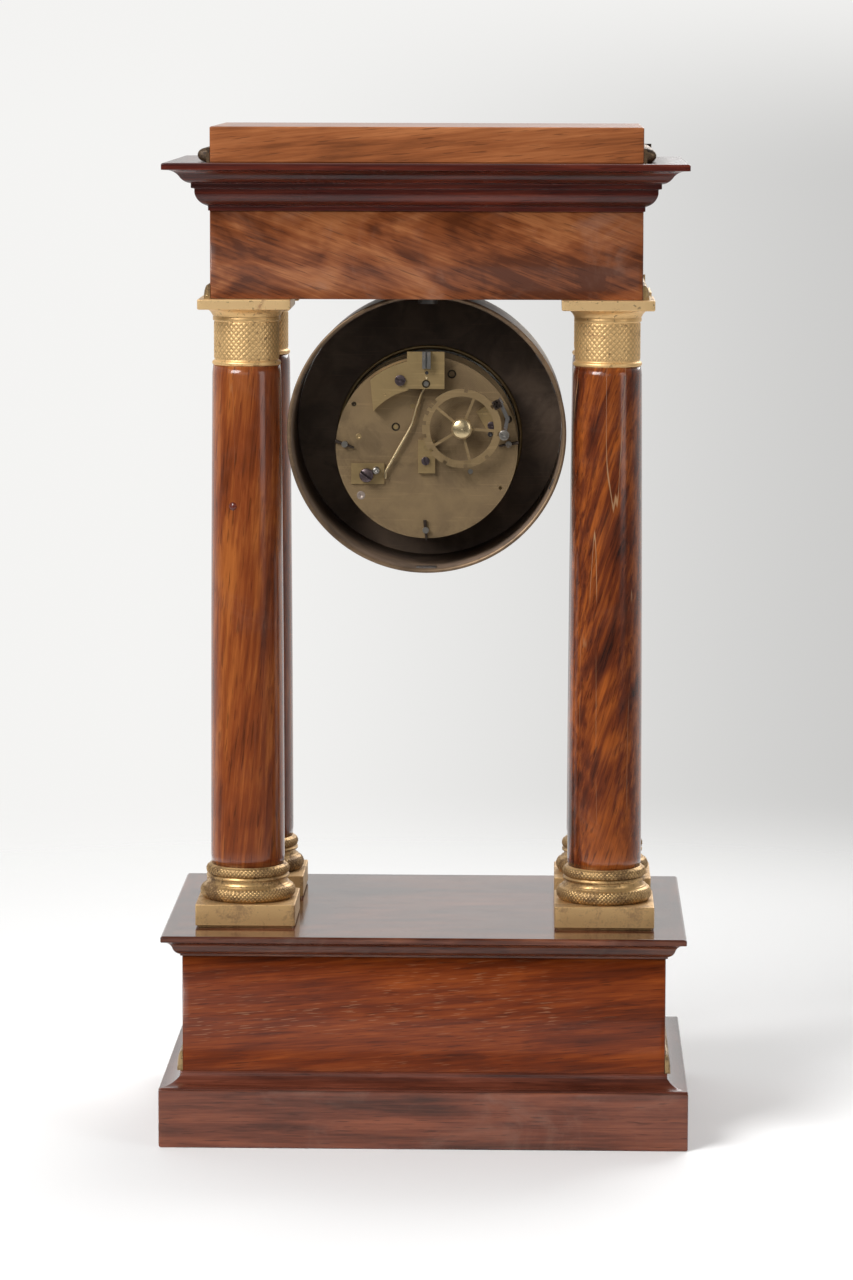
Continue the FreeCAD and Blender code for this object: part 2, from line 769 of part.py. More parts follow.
def build_door():
    """Hinged bezel that carries the domed glass, with the middle knuckle of its hinge."""
    bezel = turned("bezel", [
        (d.bezel_sight_radius + 1.6, 0),
        (d.bezel_radius, 0),
        (d.bezel_radius, d.bezel_thickness * 0.45),
        (d.bezel_radius - 4.5, d.bezel_thickness, 6.5, 1),
        (d.bezel_sight_radius + 1.5, d.bezel_thickness),
        (d.bezel_sight_radius, d.glass_seat + 0.4),
        (d.bezel_sight_radius, d.glass_seat),
        (d.bezel_sight_radius + 1.6, d.glass_seat),
    ], 0, bezel_y, movement_z)
    knuckle = new_sketch(bezel, "XY_Plane", -knuckle_length / 2 + 0.15)
    draw_outline(knuckle, [
        (d.bezel_radius - 2.5, -d.hinge_radius * 0.5 - 0.8),
        (hinge_x, -d.hinge_radius * 0.5 - 0.8),
        (hinge_x, -d.hinge_radius * 1.5 - 0.8),
        (d.bezel_radius - 2.5, -d.hinge_radius * 1.5 - 0.8),
    ])
    pad(bezel, knuckle, knuckle_length - 0.3)
    barrel = new_sketch(bezel, "XY_Plane", -knuckle_length / 2 + 0.15)
    draw_circle(barrel, hinge_x, hinge_y - bezel_y, d.hinge_radius)
    pad(bezel, barrel, knuckle_length - 0.3)
    bore = new_sketch(bezel, "XY_Plane", -knuckle_length / 2 + 0.15)
    draw_circle(bore, hinge_x, hinge_y - bezel_y, hinge_bore + d.pivot_gap)
    pocket(bezel, bore, knuckle_length - 0.3)

    flat = d.bezel_sight_radius - 0.5
    dome = (flat * flat + d.glass_rise * d.glass_rise) / (d.glass_rise * 2)
    back = d.glass_seat - d.glass_thickness
    turned("bezel_glass", [
        (d.bezel_sight_radius + 1.5, back),
        (d.bezel_sight_radius + 1.5, d.glass_seat),
        (flat, d.glass_seat),
        (0, d.glass_seat + d.glass_rise, dome, 1),
        (0, back + d.glass_rise),
        (flat, back, dome, -1),
    ], 0, bezel_y, movement_z)


def add_hinge_leaf():
    """The fixed knuckles and the hinge pin, brazed to the drum's front wall."""
    wall = next(item for item in NODES if item.Label == "drum_front_plate")
    axis_x = hinge_x
    axis_y = hinge_y - drum_front_y - d.drum_front_thickness
    for side in (-1, 1):
        low = knuckle_length * (side - 0.5) - d.movement_drop
        lug = new_sketch(wall, "XY_Plane", low)
        draw_outline(lug, [
            (axis_x - d.hinge_radius, axis_y),
            (axis_x + d.hinge_radius, axis_y),
            (axis_x + d.hinge_radius - 1.8, -d.drum_front_thickness),
            (axis_x - d.hinge_radius, -d.drum_front_thickness),
        ])
        pad(wall, lug, knuckle_length)
        barrel = new_sketch(wall, "XY_Plane", low)
        draw_circle(barrel, axis_x, axis_y, d.hinge_radius)
        pad(wall, barrel, knuckle_length)
    pin_sketch = new_sketch(wall, "XY_Plane", -knuckle_length * 1.5 - d.movement_drop)
    draw_circle(pin_sketch, axis_x, axis_y, hinge_bore)
    pad(wall, pin_sketch, knuckle_length * 3)


def build_hand(label, length, width, lift, bore, turn):
    """Blued steel hand: tapering blade with a pierced moon near its tip."""
    body = new_body(label)
    blade = new_sketch(body, "XZ_Plane")
    draw_outline(blade, [
        (-width, 0),
        (width, 0),
        (width * 0.45, length * 0.68),
        (width * 0.4, length * 0.8),
        (0.15, length),
        (-0.15, length),
        (-width * 0.4, length * 0.8),
        (-width * 0.45, length * 0.68),
    ])
    pad(body, blade, d.hand_thickness)
    for height, radius in ((0, bore + 2.2), (length * 0.74, length * 0.075)):
        disc = new_sketch(body, "XZ_Plane")
        draw_circle(disc, 0, height, radius)
        pad(body, disc, d.hand_thickness)
    for height, radius in ((0, bore), (length * 0.74, length * 0.05)):
        hole = new_sketch(body, "XZ_Plane")
        draw_circle(hole, 0, height, radius)
        pocket(body, hole, d.hand_thickness)
    body.Placement.Rotation = FreeCAD.Rotation(Vector(0, 1, 0), turn)
    place(body, 0, dial_y - lift, movement_z)
    return body


# ---------------------------------------------------------------------------------------------
# Movement frame: places are (right, up) from the movement's axis, seen from the dial
# ---------------------------------------------------------------------------------------------
def on_plate(body, x=0, z=0):
    """Stand a piece on the back plate's rear face, at a place measured from the movement axis."""
    place(body, x, back_plate_y, movement_z + z)


def plate_layer(body, lift, thickness):
    """Sketch for a layer that lies behind the back plate, lift away from it."""
    return new_sketch(body, "XZ_Plane", -(lift + thickness))


def build_plates():
    """The two round plates, the pillars that hold them apart and the taper pins."""
    pivots = [PIN_WHEEL, THIRD_WHEEL, ESCAPE_WHEEL, DETENT, GOING_BARREL, STRIKE_BARREL,
              SECOND_WHEEL, (0, 0)]
    back = new_body("back_plate")
    sketch = new_sketch(back, "XZ_Plane")
    draw_circle(sketch, 0, 0, d.plate_radius)
    for x, z in pivots:
        draw_circle(sketch, x, z, d.arbor_radius + d.pivot_gap)
    draw_circle(sketch, PALLETS[0], PALLETS[1], d.arbor_radius * 2)
    for x, z, radius in SPARE_HOLES:
        draw_circle(sketch, x, z, radius)
    for x, z, reach in PILLARS:
        if reach:
            draw_circle(sketch, x, z, d.pillar_radius * 0.62 + d.pivot_gap)
    pad(back, sketch, d.plate_thickness)
    on_plate(back)

    front = new_body("front_plate")
    sketch = new_sketch(front, "XZ_Plane")
    draw_circle(sketch, 0, 0, d.plate_radius)
    draw_circle(sketch, 0, 0, d.centre_arbor_radius + d.pivot_gap)
    for x, z in (GOING_BARREL, STRIKE_BARREL):
        draw_circle(sketch, x, z, d.winding_radius + d.pivot_gap)
    for x, z in (PIN_WHEEL, THIRD_WHEEL, ESCAPE_WHEEL, DETENT, SECOND_WHEEL, PALLETS):
        draw_circle(sketch, x, z, d.arbor_radius + d.pivot_gap)
    pad(front, sketch, d.plate_thickness)
    stud = new_sketch(front, "XZ_Plane", d.plate_thickness)
    draw_circle(stud, MINUTE_WHEEL[0], MINUTE_WHEEL[1], d.arbor_radius)
    pad(front, stud, MOTION_LENGTH)
    place(front, 0, front_plate_y, movement_z)

    pillars = []
    pins = []
    for index, (x, z, reach) in enumerate(PILLARS):
        pillar = new_body(f"pillar_{index}")
        sketch = new_sketch(pillar, "XZ_Plane", d.plate_thickness)
        draw_circle(sketch, 0, 0, d.pillar_radius)
        pad(pillar, sketch, d.plate_spacing)
        if reach:
            nose = new_sketch(pillar, "XZ_Plane", -reach)
            draw_circle(nose, 0, 0, d.pillar_radius * 0.62)
            pad(pillar, nose, d.plate_thickness + reach)
            pins.append(build_taper_pin(index, x, z, reach / 2))
        on_plate(pillar, x, z)
        pillars.append(pillar)
    group("pillars", pillars)
    group("pillar_pins", pins)


def build_taper_pin(index, x, z, lift):
    """Steel taper pin driven across a pillar's nose."""
    cone = doc.addObject("Part::Cone", f"taper_pin_{index}")
    length = d.pillar_radius * 4
    bind(cone, "Radius1", d.pillar_radius * 0.22)
    bind(cone, "Radius2", d.pillar_radius * 0.34)
    bind(cone, "Height", length)
    lean = PIN_LEANS[index]
    cone.Placement.Rotation = FreeCAD.Rotation(Vector(0, 1, 0), lean)
    along = math.radians(lean)
    place(cone, x - length / 2 * math.sin(along), back_plate_y + lift,
          movement_z + z - length / 2 * math.cos(along))
    return cone


def outline_on(body, lift, thickness, outline, holes=()):
    """A flat layer behind the back plate, with round holes."""
    sketch = plate_layer(body, lift, thickness)
    draw_outline(sketch, outline)
    for x, z, radius in holes:
        draw_circle(sketch, x, z, radius)
    return pad(body, sketch, thickness)


def turned_rectangle(x, z, along, across, angle):
    """Corners of a rectangle centred on (x, z) whose long side leans by angle degrees."""
    cosine, sine = math.cos(math.radians(angle)), math.sin(math.radians(angle))
    corners = []
    for side_a, side_b in ((-1, -1), (1, -1), (1, 1), (-1, 1)):
        reach = along * side_a / 2
        width = across * side_b / 2
        corners.append((x + reach * cosine - width * sine, z + reach * sine + width * cosine))
    return corners


def bar_between(start, end, width):
    """Corners of a straight bar whose centre line joins two points."""
    run, rise = end[0] - start[0], end[1] - start[1]
    length = math.hypot(number(run), number(rise))
    return turned_rectangle(start[0] + run / 2, start[1] + rise / 2, length + width, width,
                            math.degrees(math.atan2(number(rise), number(run))))


def build_bridge():
    """Pallet bridge: a crescent foot on the plate and a raised square that holds the pivot."""
    bridge = new_body("pallet_bridge")
    inner = 31.0
    outer = d.plate_radius - 1.0
    outline_on(bridge, 0, d.bridge_thickness, [
        (27.6, 33.9, outer, -1),
        (26.1, 18.3),
        (9.0, 28.7, inner, 1),
        (9.0, 42.97),
    ])
    outline_on(bridge, d.bridge_lift, d.bridge_thickness - d.bridge_lift, [
        (-8.8, 29.5),
        (9.6, 29.5),
        (9.6, 47.7),
        (-8.8, 47.7),
    ], [(PALLETS[0], PALLETS[1], d.arbor_radius + d.pivot_gap)])
    on_plate(bridge)

    post = new_body("suspension_post")
    outline_on(post, d.bridge_thickness, 4.0, [
        (-2.05, 39.6),
        (2.05, 39.6),
        (2.05, 48.0),
        (-2.05, 48.0),
    ])
    slit = plate_layer(post, d.bridge_thickness + 1.0, 3.0)
    draw_outline(slit, turned_rectangle(0, 43.8, 9.0, 0.8, 90))
    pocket(post, slit, 3.0)
    on_plate(post)


def build_cocks():
    """Small brass cocks over two pivots, and the thin foot that the bell stand screws to."""
    centre = new_body("centre_cock")
    outline_on(centre, 0, 2.5, [(-4.2, -12.5), (4.2, -12.5), (4.2, 3.9), (-4.2, 3.9)],
               [(0, 0, d.arbor_radius + d.pivot_gap)])
    side = new_body("side_cock")
    outline_on(side, 0, 2.0, turned_rectangle(-29.9, 14.9, 11.0, 6.4, 60.5),
               [(PIN_WHEEL[0], PIN_WHEEL[1], d.arbor_radius + d.pivot_gap)])
    foot = new_body("bell_stand_foot")
    outline_on(foot, 0, 1.2, [(20.9, -18.0), (37.2, -18.0), (37.2, -7.7), (20.9, -7.7)])
    cocks = [centre, side, foot]
    for cock in cocks:
        on_plate(cock)
    group("plate_cocks", cocks)


def build_screws():
    """Slotted steel screws and the plain stud on the back plate."""
    screws = []
    for index, (x, z, lift, radius, height, slot) in enumerate([
        (12.9, 33.7, d.bridge_thickness, 2.65, 1.6, 25),
        (0.5, -6.4, 2.5, 2.05, 1.4, 70),
        (-31.9, 11.2, 2.0, 1.95, 1.2, 10),
        (29.6, -13.5, 1.2, 3.4, 5.0, 35),
        (24.9, -11.1, 1.2, 1.8, 4.5, None),
    ]):
        screw = new_body(f"plate_screw_{index}")
        head = plate_layer(screw, lift, height)
        draw_circle(head, 0, 0, radius)
        pad(screw, head, height)
        if slot is not None:
            groove = plate_layer(screw, lift, height)
            draw_outline(groove, turned_rectangle(0, 0, radius * 3, 0.8, slot))
            pocket(screw, groove, 0.7)
        on_plate(screw, x, z)
        screws.append(screw)
    group("plate_screws", screws)


def build_countwheel():
    """Count wheel: notched rim on five thin spokes, its hub, sleeve and domed cap."""
    wheel = new_body("countwheel")
    rim = d.countwheel_radius - d.countwheel_rim
    hub = 3.4
    spoke = 1.3
    disc = plate_layer(wheel, d.countwheel_lift, d.countwheel_thickness)
    draw_circle(disc, 0, 0, d.countwheel_radius)
    draw_circle(disc, 0, 0, d.arbor_radius)
    first = math.radians(SPOKE_START)
    outer_half = math.asin(spoke / 2 / number(rim))
    inner_half = math.asin(spoke / 2 / hub)
    for index in range(5):
        low = first + index * math.tau / 5
        high = low + math.tau / 5
        draw_outline(disc, [
            (rim * math.cos(low + outer_half), rim * math.sin(low + outer_half)),
            (rim * math.cos(high - outer_half), rim * math.sin(high - outer_half), rim, 1),
            (hub * math.cos(high - inner_half), hub * math.sin(high - inner_half)),
            (hub * math.cos(low + inner_half), hub * math.sin(low + inner_half), hub, -1),
        ])
    pad(wheel, disc, d.countwheel_thickness)
    sleeve = plate_layer(wheel, 0.6, d.countwheel_lift - 0.6)
    draw_circle(sleeve, 0, 0, 2.6)
    draw_circle(sleeve, 0, 0, d.arbor_radius)
    pad(wheel, sleeve, d.countwheel_lift - 0.6)
    cap = plate_layer(wheel, d.countwheel_lift + d.countwheel_thickness, 2.2)
    draw_circle(cap, 0, 0, 5.0)
    pad(wheel, cap, 2.2)
    notches = plate_layer(wheel, d.countwheel_lift, d.countwheel_thickness)
    for angle in notch_angles():
        middle = d.countwheel_radius
        x = middle * math.cos(math.radians(angle))
        z = middle * math.sin(math.radians(angle))
        draw_outline(notches, turned_rectangle(x, z, 3.4, 1.9, angle))
    pocket(wheel, notches, d.countwheel_thickness)
    on_plate(wheel, *SECOND_WHEEL)


def notch_angles():
    """One notch after each hour's strokes and its half-hour stroke, ninety strokes to the turn.

    The notch after eleven o'clock lies under the detent's finger.
    """
    strokes = [sum(hour + 1 for hour in range(1, count + 1)) for count in range(12)]
    return [FINGER_ANGLE + 4 * (strokes[10] - stroke) for stroke in strokes]


def build_detent():
    """Count detent: an arbor through both plates, its hub and the arm with the finger."""
    lever = new_body("detent_lever")
    lift = d.countwheel_lift - 0.4
    thickness = d.countwheel_thickness + 0.8
    reach = lift + thickness + d.plate_thickness * 2 + d.plate_spacing
    stem = plate_layer(lever, lift, thickness)
    draw_circle(stem, 0, 0, d.arbor_radius)
    pad(lever, stem, reach)
    angle = math.radians(FINGER_ANGLE)
    base_x, base_z = SECOND_WHEEL[0] - DETENT[0], SECOND_WHEEL[1] - DETENT[1]
    tip = d.countwheel_radius + 0.5
    heel = d.countwheel_radius + 4.6
    corners = []
    for radius, side in ((tip, -0.6), (heel, -1.7), (heel, 1.7), (tip, 0.6)):
        corners.append((base_x + radius * math.cos(angle) - side * math.sin(angle),
                        base_z + radius * math.sin(angle) + side * math.cos(angle)))
    outline_on(lever, lift, thickness, corners)
    joints = [(0, 0), DETENT_ELBOW, (base_x + (heel - 1.2) * math.cos(angle),
                                    base_z + (heel - 1.2) * math.sin(angle))]
    for start, end in zip(joints, joints[1:]):
        outline_on(lever, lift, thickness, bar_between(start, end, 1.8))
    on_plate(lever, *DETENT)


# ---------------------------------------------------------------------------------------------
# Wheels and arbors: toothed and compound round pieces, in a frame whose origin is on their axis
# at the back plate's front face; distances run towards the dial
# ---------------------------------------------------------------------------------------------
inside_y = number(back_plate_y - d.plate_thickness)
plate = number(d.plate_thickness)
spacing = number(d.plate_spacing)
arbor_radius = number(d.arbor_radius)
gap = number(d.pivot_gap)


def rod(radius, start, end):
    """A cylinder along the axis between two distances."""
    return Part.makeCylinder(radius, end - start, Vector(0, -start, 0), Vector(0, -1, 0))


def flat_piece(points, start, thickness):
    """A flat piece from (x, z) points."""
    corners = [Vector(x, -start, z) for x, z in points]
    face = Part.Face(Part.makePolygon(corners + corners[:1]))
    return face.extrude(Vector(0, -thickness, 0))


def toothed_wheel(teeth, module, phase, start, thickness):
    """Straight-flanked teeth, narrower than their spaces so that the mesh runs with backlash."""
    pitch = math.tau / teeth
    radius = teeth * module / 2
    tip = radius + 0.8 * module
    root = radius - 1.2 * module
    points = []
    for tooth in range(teeth):
        for offset, reach in ((-0.27, root), (-0.1, tip), (0.1, tip), (0.27, root)):
            angle = phase + (tooth + offset) * pitch
            points.append((reach * math.cos(angle), reach * math.sin(angle)))
    return flat_piece(points, start, thickness)


def saw_wheel(teeth, tip, root, start, thickness):
    """Pointed teeth that lean one way, for the escape wheel and the ratchets."""
    pitch = math.tau / teeth
    points = []
    for tooth in range(teeth):
        for offset, reach in ((0.0, root), (0.62, tip), (0.72, tip), (0.78, root)):
            angle = (tooth + offset) * pitch
            points.append((reach * math.cos(angle), reach * math.sin(angle)))
    return flat_piece(points, start, thickness)


def direction(first, second):
    """Angle of the line from one place to another."""
    return math.atan2(second[1] - first[1], second[0] - first[0])


def module_between(first, second, first_teeth, second_teeth):
    """Tooth module that puts two wheels in mesh at their places."""
    distance = math.hypot(second[0] - first[0], second[1] - first[1])
    return 2 * distance / (first_teeth + second_teeth)


def meshed_pair(first, second, first_name, second_name):
    """Module and the two phases of a pair: a tooth of the first points into a space of the second."""
    first_teeth, second_teeth = TEETH[first_name], TEETH[second_name]
    towards = direction(first, second)
    return (module_between(first, second, first_teeth, second_teeth), towards,
            towards + math.pi + math.pi / second_teeth)


def round_piece(label, where, solids, bore=None):
    """Join solids on one axis into one sub-part, bored right through if it turns on an arbor."""
    shape = solids[0].multiFuse(solids[1:]).removeSplitter() if len(solids) > 1 else solids[0]
    if bore:
        shape = shape.cut(rod(bore, -20, spacing + 60))
    feature = doc.addObject("Part::Feature", label)
    feature.Shape = shape
    feature.Placement = FreeCAD.Placement(
        Vector(where[0], inside_y, number(movement_z) + where[1]), FreeCAD.Rotation())
    return node(feature, label)


def build_going_train():
    """Barrel, centre, third and escape wheels."""
    axis = (0.0, 0.0)
    dial_reach = inside_y - number(dial_y)
    centre = number(d.centre_arbor_radius)
    bore = number(d.winding_radius) + gap
    module, great_phase, pinion_phase = meshed_pair(GOING_BARREL, axis, "going_great", "centre_pinion")
    round_piece("going_barrel", GOING_BARREL, [
        toothed_wheel(TEETH["going_great"], module, great_phase, 3.0, 1.6),
        rod(16.5, 4.6, 24.6),
    ], bore)
    next_module, wheel_phase, next_phase = meshed_pair(axis, THIRD_WHEEL, "centre", "third_pinion")
    cannon_module, cannon_phase, minute_phase = meshed_pair(axis, MINUTE_WHEEL, "cannon", "minute")
    round_piece("centre_wheel", axis, [
        rod(arbor_radius, -plate - 2.5, 0.5),
        rod(centre, 0.5, dial_reach + 5.4),
        toothed_wheel(TEETH["centre_pinion"], module, pinion_phase, 2.4, 2.8),
        toothed_wheel(TEETH["centre"], next_module, wheel_phase, 32.0, 1.4),
        toothed_wheel(TEETH["cannon"], cannon_module, cannon_phase, spacing + plate + 2.0, 2.2),
    ])
    last_module, third_phase, escape_phase = meshed_pair(
        THIRD_WHEEL, ESCAPE_WHEEL, "third", "escape_pinion")
    round_piece("third_wheel", THIRD_WHEEL, [
        rod(arbor_radius, -plate, spacing + plate),
        toothed_wheel(TEETH["third_pinion"], next_module, next_phase, 31.4, 2.6),
        toothed_wheel(TEETH["third"], last_module, third_phase, 36.0, 1.2),
    ])
    round_piece("escape_wheel", ESCAPE_WHEEL, [
        rod(arbor_radius, -plate, spacing + plate),
        toothed_wheel(TEETH["escape_pinion"], last_module, escape_phase, 35.4, 2.4),
        saw_wheel(TEETH["escape"], ESCAPE_TIP, ESCAPE_TIP - 1.5, 12.0, 1.0),
    ])
    minute_module, pinion_phase, hour_phase = meshed_pair(MINUTE_WHEEL, axis, "minute_pinion", "hour")
    motion = spacing + plate
    round_piece("minute_wheel", MINUTE_WHEEL, [
        toothed_wheel(TEETH["minute"], cannon_module, minute_phase, motion + 2.5, 1.2),
        toothed_wheel(TEETH["minute_pinion"], minute_module, pinion_phase, motion + 3.7, 3.2),
    ], arbor_radius + gap)
    hour_pipe = centre + 1.3
    round_piece("hour_wheel", axis, [
        toothed_wheel(TEETH["hour"], minute_module, hour_phase, motion + 5.0, 1.2),
        rod(hour_pipe, motion + 5.0, dial_reach + 3.4),
    ], centre + gap)


def build_anchor():
    """Anchor pallets astride the escape wheel, on an arbor that reaches the bridge."""
    span = math.hypot(PALLETS[0] - ESCAPE_WHEEL[0], PALLETS[1] - ESCAPE_WHEEL[1])
    middle = direction(ESCAPE_WHEEL, PALLETS)
    clear = ESCAPE_TIP + 0.55
    solids = [
        rod(arbor_radius, -plate - number(d.bridge_thickness), spacing + plate),
        rod(2.8, 11.3, 13.7),
    ]
    touch = math.acos(clear / span)
    for side in (-1, 1):
        lean = middle + side * touch
        outward = (math.cos(lean), math.sin(lean))
        foot = (ESCAPE_WHEEL[0] - PALLETS[0] + outward[0] * clear,
                ESCAPE_WHEEL[1] - PALLETS[1] + outward[1] * clear)
        solids.append(flat_piece([
            (0, 0),
            foot,
            (foot[0] + outward[0] * 1.5, foot[1] + outward[1] * 1.5),
            (outward[0] * 2.4, outward[1] * 2.4),
        ], 11.5, 2.0))
    round_piece("anchor", PALLETS, solids)


def build_crutch():
    """Bent steel wire that hangs from a boss on the pallet arbor, under the bridge."""
    radius = number(d.crutch_wire_radius)
    level = -plate - 2.2
    points = [Vector(x, -level, z) for x, z in CRUTCH_BENDS]
    solids = [rod(2.6, level - 1.1, level + 1.1)]
    for start, end in zip(points, points[1:]):
        along = end - start
        solids.append(Part.makeCylinder(radius, along.Length, start, along))
        solids.append(Part.makeSphere(radius, end))
    shape = solids[0].multiFuse(solids[1:])
    shape = shape.cut(rod(arbor_radius, level - 3, level + 3))
    round_piece("crutch", PALLETS, [shape])


def build_strike_train():
    """Strike barrel, the second wheel that carries the count wheel, and the pin wheel."""
    bore = number(d.winding_radius) + gap
    module, great_phase, pinion_phase = meshed_pair(
        STRIKE_BARREL, SECOND_WHEEL, "strike_great", "second_pinion")
    round_piece("strike_barrel", STRIKE_BARREL, [
        rod(16.0, 3.0, 23.0),
        toothed_wheel(TEETH["strike_great"], module, great_phase, 23.0, 1.6),
    ], bore)
    next_module, wheel_phase, pin_phase = meshed_pair(SECOND_WHEEL, PIN_WHEEL, "second", "pin_pinion")
    carry = plate + number(d.countwheel_lift + d.countwheel_thickness)
    round_piece("second_wheel", SECOND_WHEEL, [
        rod(arbor_radius, -carry, spacing + plate),
        toothed_wheel(TEETH["second_pinion"], module, pinion_phase, 22.4, 2.8),
        toothed_wheel(TEETH["second"], next_module, wheel_phase, 28.0, 1.4),
    ])
    pins = []
    for index in range(8):
        angle = index * math.tau / 8
        pin_solid = rod(0.6, 34.0, 36.0)
        pin_solid.translate(Vector(7.4 * math.cos(angle), 0, 7.4 * math.sin(angle)))
        pins.append(pin_solid)
    round_piece("pin_wheel", PIN_WHEEL, [
        rod(arbor_radius, -plate - 2.0, spacing + plate),
        toothed_wheel(TEETH["pin_pinion"], next_module, pin_phase, 27.4, 2.6),
        toothed_wheel(TEETH["pin_wheel"], 0.37, 0, 33.0, 1.2),
    ] + pins)


def build_winding_arbor(label, where):
    """Barrel arbor: rear pivot, ratchet in front of the front plate and the square for the key."""
    radius = number(d.winding_radius)
    side = radius * math.sqrt(2) * 0.98
    front = spacing + plate
    square_start = front + 7.0
    square_end = inside_y - number(dial_y) - 0.6
    square = Part.makeBox(side, square_end - square_start, side,
                          Vector(-side / 2, -square_end, -side / 2))
    round_piece(label, where, [
        rod(arbor_radius, -plate, 0.6),
        rod(radius, 0.6, square_start),
        saw_wheel(TEETH["ratchet"], 6.0, 4.9, front + 2.0, 1.5),
        square,
    ])


# ---------------------------------------------------------------------------------------------
# Assembly, checks and files
# ---------------------------------------------------------------------------------------------
build_base()
for name, x, y in column_places():
    build_column_base(name, x, y)
    build_shaft(name, x, y)
    build_capital(name, x, y)
group("column_tie_rods", [build_tie_rod(*spot) for spot in column_places()])
build_entablature()
build_borders()
build_drum()
add_hinge_leaf()
build_dial()
build_door()
hour_turn = 30 * (HAND_HOURS + HAND_MINUTES / 60)
build_hand("hour_hand", d.hour_hand_length, 1.5, 2.6, d.centre_arbor_radius + 1.3, hour_turn)
build_hand("minute_hand", d.minute_hand_length, 1.2, 4.0, d.centre_arbor_radius, 6 * HAND_MINUTES)
build_plates()
build_bridge()
build_cocks()
build_screws()
build_countwheel()
build_detent()
build_going_train()
build_anchor()
build_crutch()
build_strike_train()
build_winding_arbor("going_winding_arbor", GOING_BARREL)
build_winding_arbor("strike_winding_arbor", STRIKE_BARREL)

doc.recompute()
for thing in doc.Objects:
    if "Invalid" in thing.State or "Error" in thing.State:
        raise RuntimeError(f"{thing.Name} did not build: {thing.State}")
for thing in NODES:
    if thing.Shape.isNull() or not thing.Shape.isValid() or not thing.Shape.Solids:
        raise RuntimeError(f"{thing.Label} has no valid solid")
for thing in NODES:
    thing.Shape.exportStep(f"parts/{thing.Label}.step")
print(f"{len(NODES)} sub-parts written")
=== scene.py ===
"""Portico mantel clock: mahogany case, gilt bronze columns' mounts, brass drum and movement."""

import json
import math

import bpy
import numpy as np
from mathutils import Matrix, Vector

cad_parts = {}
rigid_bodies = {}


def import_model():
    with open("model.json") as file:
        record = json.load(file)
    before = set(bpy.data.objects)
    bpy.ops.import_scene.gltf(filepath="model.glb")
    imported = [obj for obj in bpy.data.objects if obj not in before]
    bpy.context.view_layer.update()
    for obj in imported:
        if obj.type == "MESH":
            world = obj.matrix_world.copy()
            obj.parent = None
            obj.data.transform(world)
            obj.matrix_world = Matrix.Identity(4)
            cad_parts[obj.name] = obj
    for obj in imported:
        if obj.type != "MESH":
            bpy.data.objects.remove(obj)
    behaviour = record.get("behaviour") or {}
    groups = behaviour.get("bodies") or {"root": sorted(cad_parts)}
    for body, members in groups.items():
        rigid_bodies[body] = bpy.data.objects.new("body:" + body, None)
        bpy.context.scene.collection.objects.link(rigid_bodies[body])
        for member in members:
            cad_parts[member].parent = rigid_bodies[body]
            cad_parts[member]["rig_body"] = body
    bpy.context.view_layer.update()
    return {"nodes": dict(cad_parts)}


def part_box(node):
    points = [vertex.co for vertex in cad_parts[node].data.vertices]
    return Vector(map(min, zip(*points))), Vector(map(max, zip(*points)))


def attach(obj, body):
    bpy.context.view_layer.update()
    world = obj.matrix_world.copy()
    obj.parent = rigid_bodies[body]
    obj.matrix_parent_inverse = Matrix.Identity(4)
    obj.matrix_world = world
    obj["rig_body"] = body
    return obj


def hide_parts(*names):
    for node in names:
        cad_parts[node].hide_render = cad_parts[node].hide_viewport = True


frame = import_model()

mm = 0.001
CORNERS = ("rear_left", "rear_right", "front_left", "front_right")


# ---- Shader arithmetic ----
class Wire:
    """One output of a node; arithmetic on it adds Math nodes."""

    def __init__(self, shader, socket):
        self.shader = shader
        self.socket = socket

    def maths(self, operation, *values):
        return self.shader.node("ShaderNodeMath", {"operation": operation}, *values)

    def __add__(self, other):
        return self.maths("ADD", self, other)

    __radd__ = __add__

    def __sub__(self, other):
        return self.maths("SUBTRACT", self, other)

    def __rsub__(self, other):
        return self.maths("SUBTRACT", other, self)

    def __mul__(self, other):
        return self.maths("MULTIPLY", self, other)

    __rmul__ = __mul__

    def __pow__(self, other):
        return self.maths("POWER", self, other)

    def sine(self):
        return self.maths("SINE", self)

    def size(self):
        return self.maths("ABSOLUTE", self)

    def band(self, low, high):
        """0 below low, 1 above high, smooth between; the other way round when low is the larger."""
        flipped = low > high
        settings = {"interpolation_type": "SMOOTHSTEP"}
        edges = (min(low, high), max(low, high), 1.0 if flipped else 0.0, 0.0 if flipped else 1.0)
        return self.shader.node("ShaderNodeMapRange", settings, self, *edges)


